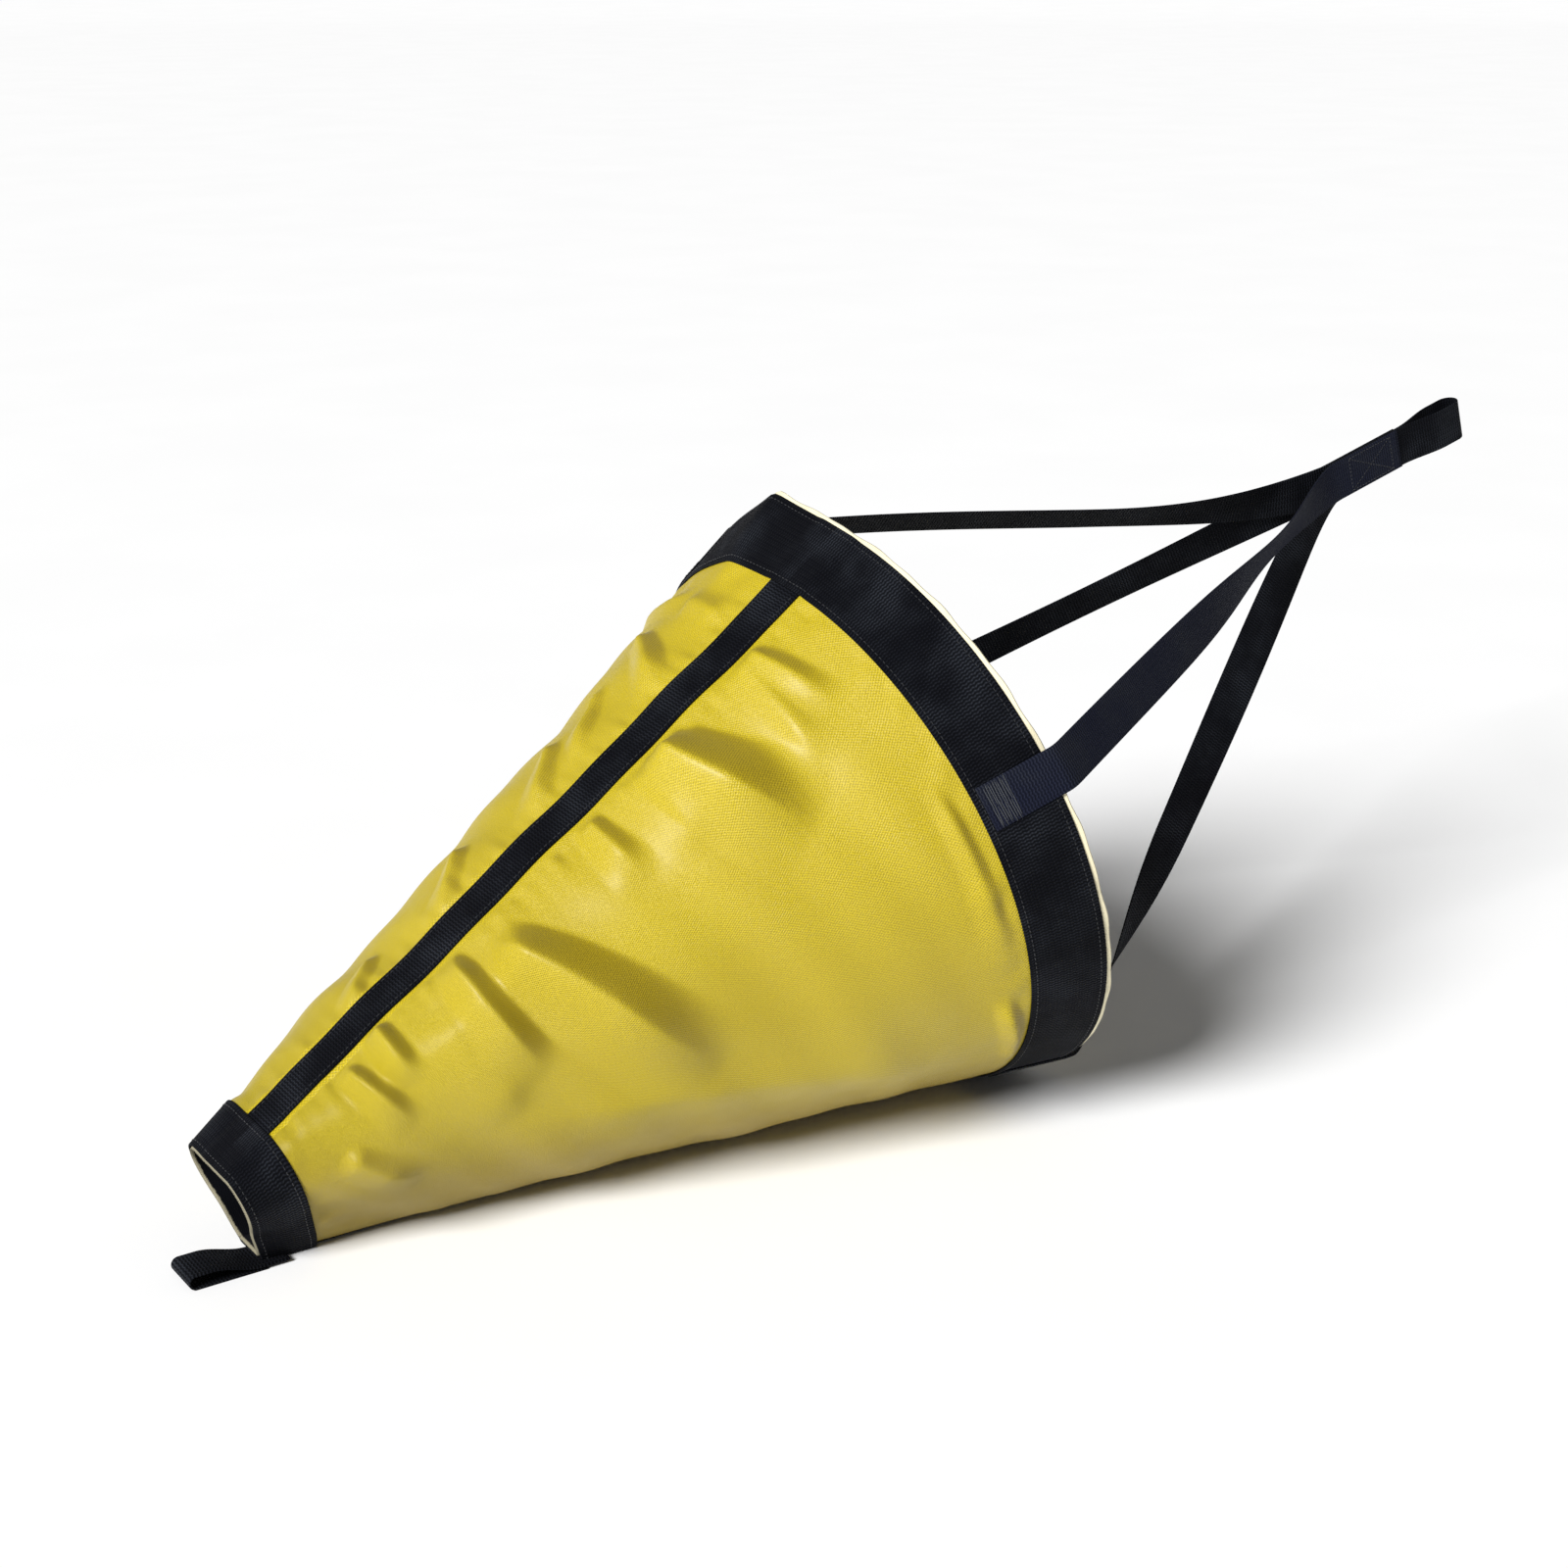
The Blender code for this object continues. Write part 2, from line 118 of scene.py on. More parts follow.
NECK_LENGTH = 0.071
NECK_CLEAR = 0.0026
TOW_LOOP_LENGTH = 0.066
TOW_LOOP_HALF_GAP = 0.0085
TAIL_LOOP_LENGTH = 0.049
TAIL_LOOP_HALF_GAP = 0.0045
TAIL_LOOP_OFFSET = -0.012
TAIL_LOOP_CLEAR = 0.0034
EYE_ROOT_GAP = 0.0006

RIB_LAYER = FABRIC_THICK / 2 + GAP + WEBBING_THICK / 2
BAND_LAYER = RIB_LAYER + WEBBING_THICK / 2 + GAP + BAND_THICK / 2
LOWEST = BAND_LAYER + BAND_THICK / 2

# ---- how finely the looks are built ----------------------------------------------------------
FINER = 6                    # columns for each facet of the CAD part's sides
TOP_COLUMNS = 12             # over the top flat and over the bottom flat
BOTTOM_COLUMNS = 16
STATION_STEP = 0.0022
SNUG = 0.0001                # the air that is left between layers that touch
RIB_AIR = 0.00025            # and under a rib
PANEL_GAP = 0.0004           # how far a panel's edge keeps from the seam
ROUNDING = 0.6               # of a strap's edge, as a share of its thickness
TOP = 0
NEAR_START = TOP_COLUMNS // 2
NEAR_END = NEAR_START + SIDE_FACETS * FINER
BOTTOM = NEAR_END + BOTTOM_COLUMNS // 2
FAR_START = BOTTOM + BOTTOM_COLUMNS // 2
FAR_END = FAR_START + SIDE_FACETS * FINER
COLUMNS = FAR_END + TOP_COLUMNS // 2

# ---- hems, stitches and tacks ----------------------------------------------------------------
HEM_THICK = 0.0007
HEM_WOBBLE = 0.00045
MOUTH_HEM_INSIDE = 0.030     # stations of the mouth hem: inside, at its edge and outside
MOUTH_HEM_EDGE = -0.0027
MOUTH_HEM_OUTSIDE = 0.0062
MOUTH_HEM_TURN = 0.00055     # the radius of its turn over the edge
MOUTH_HEM_AIR = 0.0006
TAIL_HEM_INSIDE = 0.018
TAIL_HEM_PAST = 0.0015
TAIL_HEM_AIR = 0.0005
STITCH_RINGS = 7
STITCH_SIDES = 6
THREAD_SINK = 0.00005        # how far a tack's threads are set into the webbing
TACK_PIECES = 2              # end to end across a strap, so that they follow its curve
TACK_SPACING = 0.0016
TACK_OVERLAP = 1.30
FLOOR_CLEAR = 0.0008         # a band's stitches stop where they come this near the floor
PALER_LIFT = 7.0             # how much paler the side_near leg's webbing is

# ---- the stage -------------------------------------------------------------------------------
FLOOR_REACH = 40.0
FLOOR_LEVEL = 20.0           # where the floor starts to rise, and how steeply
FLOOR_SLOPE = 0.02
FLOOR_DROP = 0.00005
FLOOR_SPOKES = 72
KEY_DIRECTION = (-0.78, -0.26, 0.57)
CAMERA_AZIMUTH = -35.38
CAMERA_ELEVATION = 19.02
CAMERA_DISTANCE = 1.9095
CAMERA_AIM = 0.2
CAMERA_SHIFT = (-0.0705, 0.0175)

# ---- the folds in the fabric -----------------------------------------------------------------
# Each is a fold that stands out along a crest through three points, each a station in
# millimetres and an angle in degrees from the top towards -Y. Then its height, and the width of
# its flank on the mouth's side and on the tail's side, in millimetres.
FOLDS = (
    ((104, 10), (97, 24), (86, 40), 7.0, 14, 16),
    ((188, 17), (182, 34), (140, 56), 22.0, 38, 42),
    ((250, 17), (250, 30), (244, 45), 9.0, 15, 20),
    ((344, 29), (312, 60), (254, 101), 20.0, 28, 46),
    ((368, 22), (368, 52), (356, 80), 12.0, 15, 26),
    ((426, 22), (429, 42), (427, 58), 8.0, 11, 18),
    ((459, 28), (451, 52), (438, 74), 8.0, 10, 18),
    ((486, 70), (471, 88), (446, 108), 7.0, 15, 20),
    ((72, 108), (57, 124), (46, 142), 7.0, 12, 14),
    ((70, 60), (66, 82), (67, 104), 4.0, 10, 14),
    ((82, -44), (86, -28), (76, -12), 5.0, 12, 18),
    ((116, -24), (130, -10), (162, 3), 8.0, 15, 18),
    ((160, -22), (196, -12), (232, -2), 6.0, 12, 16),
    ((212, -22), (236, -10), (276, 2), 7.0, 14, 18),
    ((304, -20), (326, -9), (356, 2), 6.5, 12, 16),
    ((392, -20), (412, -10), (435, 1), 5.0, 10, 14),
    ((120, -120), (190, -95), (300, -70), 8.0, 26, 40),
    ((300, -130), (340, -90), (350, -50), 8.0, 22, 34),
    ((90, -95), (130, -70), (150, -40), 7.0, 20, 28),
)
# Ridges, in the same terms, with a height and one width.
RIDGES = (
    ((70, 131), (190, 116), (400, 94), 5.0, 26),
    ((110, 12), (113, 27), (118, 48), 5.0, 11),
    ((86, -16), (84, -8), (93, 3), 5.0, 10),
    ((392, 36), (390, 66), (378, 92), 5.0, 18),
    ((206, 16), (206, 32), (204, 48), 4.0, 14),
)
# Slow slackness: height, rate along the station, rate round the section and phase.
SLACK = ((0.0010, 61, 2.1, 0.6), (0.0011, 37, -3.3, 2.0), (0.0007, 118, 5.2, 4.0))
# Puckers along the ribs: size, rate and how many times the rib side's phase. Scallops behind
# the mouth band, gathers before the tail band and the ribs' own waves: size, rate and phase.
PUCKERS = ((1.0, 295, 1), (0.7, 520, 2), (0.5, 178, 3))
SCALLOPS = ((1.0, 31, 0.8), (0.8, 47, 2.2), (0.6, 19, 0.0))
GATHERS = ((1.0, 9, 0.3), (0.8, 14, 1.9))
RIB_WAVES = ((0.0007, 44, 1.0), (0.0005, 93, 0.4))
PUCKER_HEIGHT = 0.00075
SCALLOP_HEIGHT = 0.0008
GATHER_HEIGHT = 0.0009


# ---- settings --------------------------------------------------------------------------------
def colour_property(name, description, default):
    return FloatVectorProperty(name=name, description=description, default=default,
                               subtype="COLOR", size=3, min=0, max=1)


def length_property(name, description, default, low, high):
    return FloatProperty(name=name, description=description, default=default,
                         unit="LENGTH", precision=5, min=low, max=high)


class SockFabricSettings(bpy.types.PropertyGroup):
    """The coated fabric and its hems."""

    colour: colour_property("Fabric colour", "The yellow coating", (0.46, 0.355, 0.006))
    shade: colour_property(
        "Fabric shade", "The coating where it is thicker or rubbed", (0.37, 0.265, 0.004))
    # Painted shade for the fabric's underside.
    painted_underside_shade: colour_property(
        "Underside painted shade colour", "Painted shade on the underside", (0.27, 0.18, 0.012))
    # Painted shade for the folds' flanks that face the mouth.
    painted_fold_shade: colour_property(
        "Crease colour", "Painted shade on the folds' flanks that face the mouth", (0.20, 0.135, 0.004))
    lining: colour_property(
        "Lining colour", "The uncoated cream back of the fabric", (0.80, 0.73, 0.50))
    # Painted shade for the lining inside the tail end.
    painted_tail_shade: colour_property(
        "Tail painted shade colour", "Painted shade on the lining inside the tail end",
        (0.055, 0.050, 0.047))
    thickness: length_property(
        "Fabric thickness", "Coating and cloth together", 0.0008, 0.0003, 0.0012)
    fold_depth: FloatProperty(
        name="Fold depth", description="Scales every fold in the fabric",
        default=1.0, min=0, max=1.5)
    weave: length_property(
        "Weave pitch", "Thread spacing that shows through the coating", 0.0026, 0.0005, 0.004)


class SockWebbingSettings(bpy.types.PropertyGroup):
    """The webbing of the bands, ribs, legs and loops."""

    colour: colour_property("Webbing colour", "The navy black yarn", (0.0013, 0.0016, 0.0036))
    worn: colour_property(
        "Worn colour", "Yarn tops that have been rubbed grey", (0.020, 0.023, 0.030))
    pitch: length_property(
        "Rib pitch", "Spacing of the weft ribs along the webbing", 0.0024, 0.0006, 0.004)
    warp: length_property(
        "Warp pitch", "Spacing of the warp columns across the webbing", 0.0021, 0.0006, 0.005)


class SockStitchSettings(bpy.types.PropertyGroup):
    """The sewing thread."""

    colour: colour_property("Thread colour", "Dark bonded thread", (0.0085, 0.0095, 0.013))
    tack_colour: colour_property(
        "Bar tack colour", "Greyer thread of the bar tacks", (0.050, 0.056, 0.062))
    radius: length_property(
        "Thread radius", "Half the thread's thickness", 0.00032, 0.0001, 0.0008)
    pitch: length_property("Stitch pitch", "From one stitch to the next", 0.0040, 0.001, 0.01)


class SockStageSettings(bpy.types.PropertyGroup):
    """The floor, the light and the camera."""

    floor: colour_property("Floor colour", "Pale studio floor", (0.97, 0.97, 0.97))
    key: FloatProperty(
        name="Key light", description="Strength of the soft light from the tail's side",
        default=5.1, min=0, max=20)
    key_angle: FloatProperty(
        name="Key softness", description="How wide the light looks", subtype="ANGLE",
        default=radians(24), min=0, max=pi)
    fill: FloatProperty(
        name="Fill light", description="Strength of the even light all round",
        default=0.14, min=0, max=5)
    lens: FloatProperty(name="Lens", description="Focal length in millimetres",
                        default=60.0, min=10, max=300)
    floor_steps: IntProperty(name="Floor steps", description="Rings in the floor",
                             default=48, min=8, max=200)


# ---- the sock's section ----------------------------------------------------------------------
def arc(radius_at, start, end, count):
    angles = np.radians(np.linspace(start, end, count))
    radii = radius_at(angles)
    return np.stack([radii * np.sin(angles), radii * np.cos(angles)], axis=1)


def mouth_radius(angle):
    across = np.sin(angle) / MOUTH_HALF_WIDTH
    upward = np.cos(angle) / MOUTH_HALF_HEIGHT
    return 1 / np.hypot(across, upward)


def tail_radius(angle):
    return TAIL_RADIUS * (1 + TAIL_CORNERS * np.cos(3 * (angle - radians(TAIL_CORNER_ANGLE))))


def between(start, end, count):
    """count points from start towards end, without end."""
    t = np.arange(count)[:, None] / count
    return (1 - t) * start + t * end


def section(radius_at, rib_angle, bottom_flat):
    """The CAD part's outline with smooth sides: flat, arc, flat, arc, round from the top."""
    top_half = np.degrees(TOP_FLAT / radius_at(radians(rib_angle)))
    bottom_half = np.degrees(bottom_flat / radius_at(radians(180.0)))
    count = SIDE_FACETS * FINER + 1
    near = arc(radius_at, rib_angle + top_half, 180 - bottom_half, count)
    far = arc(radius_at, bottom_half - 180, rib_angle - top_half, count)
    far[0, 1] = near[-1, 1]
    top = (near[0] + far[-1]) / 2
    return np.concatenate([
        between(top, near[0], TOP_COLUMNS // 2),
        near[:-1],
        between(near[-1], far[0], BOTTOM_COLUMNS),
        far[:-1],
        between(far[-1], top, TOP_COLUMNS // 2),
    ])


MOUTH_SECTION = section(mouth_radius, RIB_ANGLE_MOUTH, BOTTOM_FLAT_MOUTH)
TAIL_SECTION = section(tail_radius, RIB_ANGLE_TAIL, BOTTOM_FLAT_TAIL)
SECTION_ANGLES = np.degrees(np.arctan2(MOUTH_SECTION[:, 0], MOUTH_SECTION[:, 1]))
PITCH = atan((TAIL_SECTION[BOTTOM, 1] - MOUTH_SECTION[BOTTOM, 1]) / SOCK_LENGTH)
AXIS = np.array([np.cos(PITCH), 0, np.sin(PITCH)])
UP = np.array([-np.sin(PITCH), 0, np.cos(PITCH)])
NEAR = np.array([0, -1.0, 0])
MOUTH_HEIGHT = (LOWEST - MOUTH_SECTION[BOTTOM, 1]) * np.cos(PITCH)

NECK_DIRECTION = np.array([np.cos(radians(NECK_SLOPE)), 0, np.sin(radians(NECK_SLOPE))])
NECK_WIDTH = np.array([-np.sin(radians(NECK_SLOPE)), 0, np.cos(radians(NECK_SLOPE))])
NECK_FACE = np.array([0, 1.0, 0])
LEG_PITCH = WEBBING_THICK + GAP
TOW_TIP = NECK_REACH + (NECK_LENGTH + TOW_LOOP_LENGTH + WEBBING_THICK / 2) * NECK_DIRECTION[0]
TOW_TIP += WEBBING / 2 * NECK_DIRECTION[2]
TAIL_EDGE = -SOCK_LENGTH * AXIS[0] + (TAIL_SECTION[BOTTOM, 1] - LOWEST) * UP[0]
TAIL_TIP = TAIL_EDGE - TAIL_LOOP_CLEAR - TAIL_LOOP_LENGTH - WEBBING_THICK / 2
MOUTH_X = -(TOW_TIP + TAIL_TIP) / 2
MOUTH_CENTRE = np.array([MOUTH_X, 0, MOUTH_HEIGHT])
NECK_ENTRY = np.array([MOUTH_X + NECK_REACH, 0, NECK_HEIGHT])
TOW_HINGE = NECK_ENTRY + NECK_DIRECTION * NECK_LENGTH
TAIL_HINGE = np.array([
    MOUTH_X + TAIL_EDGE - TAIL_LOOP_CLEAR,
    TAIL_LOOP_OFFSET,
    WEBBING_THICK + EYE_ROOT_GAP / 2,
])


# ---- small mathematics -----------------------------------------------------------------------
def unit(vectors):
    return vectors / np.maximum(np.linalg.norm(vectors, axis=-1, keepdims=True), 1e-12)


def ease(value, start, end):
    """0 at start, 1 at end, with no slope at either."""
    t = np.clip((value - start) / (end - start), 0, 1)
    return t * t * (3 - 2 * t)


def run(points):
    """How far along a line of points each one is."""
    steps = np.linalg.norm(np.diff(points, axis=0), axis=1)
    return np.concatenate([[0], np.cumsum(steps)])


def resample(points, places):
    """Points at given distances along a line; also works on what goes with the points."""
    along = run(points[:, :3])
    return np.stack([np.interp(places, along, points[:, k]) for k in range(points.shape[1])], 1)


def bezier(points, count):
    t = np.linspace(0, 1, count)[:, None, None]
    level = np.repeat(np.array(points, float)[None], count, axis=0)
    while level.shape[1] > 1:
        level = (1 - t) * level[:, :-1] + t * level[:, 1:]
    return level[:, 0]


# ---- the sock's surface ----------------------------------------------------------------------
def nearest(stations, around, curve):
    """Signed distance to a curve, positive on the mouth's side, and the share along it."""
    best = np.full(stations.shape, 1e9)
    offset = np.zeros(stations.shape)
    share = np.zeros(stations.shape)
    heading = unit(np.gradient(curve, axis=0))
    step = np.linalg.norm(np.diff(curve, axis=0), axis=1).mean()
    for index, (point, way) in enumerate(zip(curve, heading)):
        across = stations - point[0]
        up = around - point[1]
        distance = np.hypot(across, up)
        closer = distance < best
        best = np.where(closer, distance, best)
        offset = np.where(closer, way[0] * up - way[1] * across, offset)
        ahead = (way[0] * across + way[1] * up) / step
        share = np.where(closer, (index + ahead) / (len(curve) - 1), share)
    return offset, share


def waves(table, value):
    """The sum of sines of a value; each row of the table is a size, a rate and a phase."""
    return sum(size * np.sin(value * rate + phase) for size, rate, phase in table)


def fading(distance, start, scale):
    """1 as far as start, then a fall by a factor of e over each further scale."""
    return np.exp(-np.clip(distance - start, 0, 1) / scale)


def beside_fold(stations, angles, points):
    """Where the fabric lies from the line of a fold through three points, as in nearest."""
    radius = np.interp(points[1][0] / 1000, [0, SOCK_LENGTH], [MOUTH_RADIUS, TAIL_RADIUS])
    curve = bezier(points, 40)
    curve = np.stack([curve[:, 0] / 1000, np.radians(curve[:, 1]) * radius], 1)
    return nearest(stations, np.radians(angles) * radius, curve)


def folds(stations, angles, radii, depth):
    """How far the fabric stands out from the plain cone.

    The sum of: folds whose two flanks fall over different widths, that rise from the seam
    and run out at the far end; bell-shaped ridges; puckers beside the ribs and the bands,
    which are sines of the distance along the seam that fade away from it; and a slow
    slackness. Everything fades to nothing under the ribs and the bands, apart from the ribs'
    own waves.
    """
    height = np.zeros(stations.shape)
    for *line, tall, mouth_wall, tail_wall in FOLDS:
        offset, share = beside_fold(stations, angles, line)
        wall = np.where(offset > 0, mouth_wall, tail_wall) / 1000
        along = ease(share, -0.02, 0.22) * (1 - ease(share, 0.55, 1.0)) ** 0.8
        wall = wall * (0.65 + 0.5 * np.clip(share, 0, 1))
        foot = np.clip(1 - np.abs(offset) / wall, 0, 1)
        height += tall / 1000 * along * (0.6 * foot + 0.4 * foot * foot * (3 - 2 * foot))
    for *line, tall, wide in RIDGES:
        offset, share = beside_fold(stations, angles, line)
        along = ease(share, 0, 0.25) * (1 - ease(share, 0.7, 1.0))
        height += tall / 1000 * along * np.exp(-np.abs(offset * 1000 / wide) ** 1.6)

    rib_angle = np.interp(stations, [0, SOCK_LENGTH], [RIB_ANGLE_MOUTH, RIB_ANGLE_TAIL])
    from_top = np.radians(angles - rib_angle) * radii
    from_bottom = np.radians((angles + 360) % 360 - 180) * radii
    around = np.radians(angles)
    behind = stations - MOUTH_BAND
    ahead = SOCK_LENGTH - TAIL_BAND - stations
    slack = waves([(size, rate, turn * around + phase) for size, rate, turn, phase in SLACK],
                  stations)
    height += slack * ease(stations, 0.05, 0.12)
    for distance, rib_phase in ((from_top, 0.0), (from_bottom, 1.7)):
        beside = np.abs(distance) - WEBBING / 2
        phase = rib_phase + np.where(distance > 0, 0.0, 2.4)
        pucker = waves([(size, rate, times * phase) for size, rate, times in PUCKERS], stations)
        height += PUCKER_HEIGHT * pucker * fading(beside, 0.004, 0.011)
    height += SCALLOP_HEIGHT * waves(SCALLOPS, around) * fading(behind, 0.004, 0.010)
    height += GATHER_HEIGHT * waves(GATHERS, around) * fading(ahead, 0.003, 0.014)

    free = ease(behind, 0.0, 0.010) * ease(ahead, 0.0, 0.010)
    free = free * ease(np.abs(from_top), WEBBING / 2 - 0.001, WEBBING / 2 + 0.009)
    free = free * ease(np.abs(from_bottom), WEBBING / 2 + 0.002, WEBBING / 2 + 0.020)
    height *= free * depth
    lower = 0.35 + 0.65 * ease(180 - np.abs(angles), 4, 60)
    wave = waves(RIB_WAVES, stations) * ease(behind, 0.0, 0.03) * ease(ahead, 0.0, 0.03)
    return height * lower + wave * np.exp(-((from_top / 0.045) ** 2)) * depth


def surface(stations, depth):
    """The fabric's middle over some stations, right round: points and outward normals."""
    share = np.asarray(stations)[:, None, None] / SOCK_LENGTH
    flat = (1 - share) * MOUTH_SECTION + share * TAIL_SECTION
    off_peak = np.hypot((SECTION_ANGLES - MOUTH_PEAK_ANGLE) / MOUTH_PEAK_SPREAD, 0.12)
    peak = (MOUTH_PEAK + 0.002) * np.exp(-1.15 * (off_peak - 0.12))
    fade = np.exp(-((np.clip(stations, 0, 1) / MOUTH_PEAK_FADE) ** 2))
    size = np.linalg.norm(flat, axis=2)
    flat = flat * (1 + fade[:, None] * peak / size)[..., None]
    near_edge = flat[:, NEAR_START]
    far_edge = flat[:, FAR_END]
    for column in range(-(COLUMNS - FAR_END), NEAR_START + 1):
        t = (column + NEAR_START) / TOP_COLUMNS
        flat[:, column] = (1 - t) * far_edge + t * near_edge
    angles = np.degrees(np.arctan2(flat[..., 0], flat[..., 1]))
    radii = np.linalg.norm(flat, axis=2)
    grid = np.broadcast_to(np.asarray(stations)[:, None], angles.shape)
    points = MOUTH_CENTRE - grid[..., None] * AXIS + flat[..., :1] * NEAR + flat[..., 1:] * UP
    normals = lattice_normals(points, points.mean(axis=1, keepdims=True))
    if depth > 0:
        points = points + normals * folds(grid, angles, radii, depth)[..., None]
        normals = lattice_normals(points, points.mean(axis=1, keepdims=True))
    return points, normals


def lattice_normals(points, inside):
    """Normals of a lattice that is closed round its columns, away from inside."""
    ahead = np.gradient(points, axis=0)
    around = np.roll(points, -1, axis=1) - np.roll(points, 1, axis=1)
    normals = unit(np.cross(ahead, around))
    outwards = np.sign(((points - inside) * normals).sum(axis=2, keepdims=True))
    return normals * np.where(outwards == 0, 1, outwards)


def from_middle(points, middle):
    """How far round a row each column is from a middle column, in metres."""
    steps = np.linalg.norm(np.roll(points, -1, axis=0) - points, axis=1)
    along = np.concatenate([[0], np.cumsum(steps)])
    total = along[-1]
    distance = along[:-1] - along[middle]
    return (distance + total / 2) % total - total / 2


def over_ribs(points):
    """1 where a band passes over a rib and 0 away from the ribs, for one row of columns."""
    top = np.abs(from_middle(points, TOP))
    bottom = np.abs(from_middle(points, BOTTOM))
    clear = np.minimum(top, bottom)
    return 1 - ease(clear, WEBBING / 2 - 0.0005, WEBBING / 2 + 0.0065)


# ---- meshes ----------------------------------------------------------------------------------
def grid_mesh(name, points, u, v, wrap_rows=False, wrap_columns=False, caps=0):
    """A mesh over a lattice. u has a value for each row and v for each column, with one more
    where the lattice wraps. caps closes the two ends of a tube whose section is two facing
    rows of caps columns."""
    rows, columns = points.shape[:2]
    i, j = np.meshgrid(
        np.arange(rows if wrap_rows else rows - 1),
        np.arange(columns if wrap_columns else columns - 1),
        indexing="ij",
    )
    corners_i = np.stack([i, i + 1, i + 1, i], -1).reshape(-1, 4)
    corners_j = np.stack([j, j, j + 1, j + 1], -1).reshape(-1, 4)
    faces = (corners_i % rows) * columns + corners_j % columns
    uv = np.stack([np.asarray(u)[corners_i], np.asarray(v)[corners_j]], -1)
    if caps:
        k = np.arange(caps - 1)
        first = np.stack([k, k + 1, (columns - k - 1) % columns, (columns - k) % columns], -1)
        last = first[:, ::-1] + (rows - 1) * columns
        faces = np.concatenate([faces, first, last])
        width = np.asarray(v)[np.concatenate([first, first[:, ::-1]])]
        end_u = np.concatenate([np.full(first.shape, u[0]), np.full(first.shape, u[rows - 1])])
        uv = np.concatenate([uv, np.stack([end_u, width], -1)])
    return raw_mesh(name, points.reshape(-1, 3), faces, uv.reshape(-1, 2))


def raw_mesh(name, verts, faces, uv):
    """A mesh from arrays, put in in one go. Faces of four corners that repeat one become
    triangles."""
    mesh = bpy.data.meshes.new(name)
    mesh.from_pydata(verts.tolist(), [], faces.tolist())
    layer = mesh.uv_layers.new(name="UVMap")
    layer.data.foreach_set("uv", np.asarray(uv, np.float32).ravel())
    mesh.polygons.foreach_set("use_smooth", np.ones(len(faces), bool))
    mesh.update()
    obj = bpy.data.objects.new(name, mesh)
    bpy.context.scene.collection.objects.link(obj)
    return obj


def places_across(width, thickness, count=9):
    """Places over a strap's width, close together where its edges are rounded."""
    edge = thickness * ROUNDING
    inner = np.linspace(-width / 2 + edge, width / 2 - edge, count)
    rounding = np.array([1.0, 0.88, 0.5]) * edge
    return np.concatenate([inner[0] - rounding, inner, inner[-1] + rounding[::-1]])


def slab(name, points, normals, across, thickness, wrap=False):
    """A woven strap: a lattice of rows along it and columns across it, with a face on each
    side and rounded edges. Its half thickness at a distance d from an edge is that of a
    circle of the rounding's size, and is constant further in."""
    columns = points.shape[1]
    centre = columns // 2
    inwards = np.clip((across[-1] - np.abs(across)) / (thickness * ROUNDING), 0, 1)
    half = thickness / 2 * np.sqrt(np.clip(1 - (1 - inwards) ** 2, 0, 1))
    outer = points + normals * half[None, :, None]
    inner = points - normals * half[None, :, None]
    loop = np.concatenate([outer, inner[:, -2:0:-1]], axis=1)
    middle = points[:, centre]
    u = run(np.concatenate([middle, middle[:1]]) if wrap else middle)
    v = np.concatenate([across, across[-2:0:-1], across[:1]])
    ahead = points[1, centre] - points[0, centre]
    over = points[0, centre + 1] - points[0, centre]
    if np.dot(np.cross(ahead, over), normals[0, centre]) < 0:
        loop = np.roll(loop[:, ::-1], columns, axis=1)
        v = np.concatenate([across[::-1], across[1:-1], across[-1:]])
    caps = 0 if wrap else columns
    return grid_mesh(name, loop, u, v, wrap_rows=wrap, wrap_columns=True, caps=caps)


def strap(name, centre, width, face, bend=0.0):
    """A strap of webbing: its middle line, with the direction of its width and its face's
    normal at each point. bend is how far its section follows the mouth's curve, 0 to 1."""
    across = places_across(WEBBING, WEBBING_THICK)
    lattice = centre[:, None] + across[None, :, None] * width[:, None]
    bend = np.broadcast_to(bend, (len(centre),))
    bow = bend[:, None] * across[None, :] ** 2 / (2 * MOUTH_HALF_WIDTH)
    lattice = lattice - face[:, None] * bow[..., None]
    normals = np.repeat(face[:, None], len(across), axis=1)
    return slab(name, lattice, normals, across, WEBBING_THICK)


def stitch_mesh(name, rows, length, radius):
    """Rows of sewn stitches. Each is a thread of six sides whose line is an arch that dips
    into the cloth at both ends; its radius is an ellipse of the place along it."""
    centres, along, normals = (np.concatenate(part) for part in zip(*rows))
    t = np.linspace(-1, 1, STITCH_RINGS)
    turn = np.linspace(0, 2 * pi, STITCH_SIDES, endpoint=False)
    thick = radius * np.sqrt(np.clip(1 - t ** 4, 0.02, 1))
    arch = radius * (0.35 - 1.3 * t ** 4)
    side = np.cross(normals, along)
    line = centres[:, None] + along[:, None] * (t[None, :, None] * length / 2)
    line = line + normals[:, None] * arch[None, :, None]
    ring = side[:, None, None] * np.cos(turn)[None, None, :, None]
    ring = ring + normals[:, None, None] * np.sin(turn)[None, None, :, None]
    verts = line[:, :, None] + ring * thick[None, :, None, None]
    i, j = np.meshgrid(np.arange(STITCH_RINGS - 1), np.arange(STITCH_SIDES), indexing="ij")
    here = i * STITCH_SIDES
    beside = (j + 1) % STITCH_SIDES
    after = here + STITCH_SIDES
    quads = np.stack([here + j, here + beside, after + beside, after + j], -1)
    first = np.array([[3, 2, 1, 0], [5, 4, 3, 0]])
    last = np.array([[0, 1, 2, 3], [0, 3, 4, 5]]) + (STITCH_RINGS - 1) * STITCH_SIDES
    faces = np.concatenate([quads.reshape(-1, 4), first, last])
    starts = STITCH_RINGS * STITCH_SIDES * np.arange(len(centres))
    faces = (faces[None] + starts[:, None, None]).reshape(-1, 4)
    u = np.repeat(t, STITCH_SIDES) * 0.5
    v = np.tile(turn, STITCH_RINGS) / (2 * pi)
    uv = np.tile(np.stack([u, v], -1), (len(centres), 1))[faces.ravel()]
    return raw_mesh(name, verts.reshape(-1, 3), faces, uv)


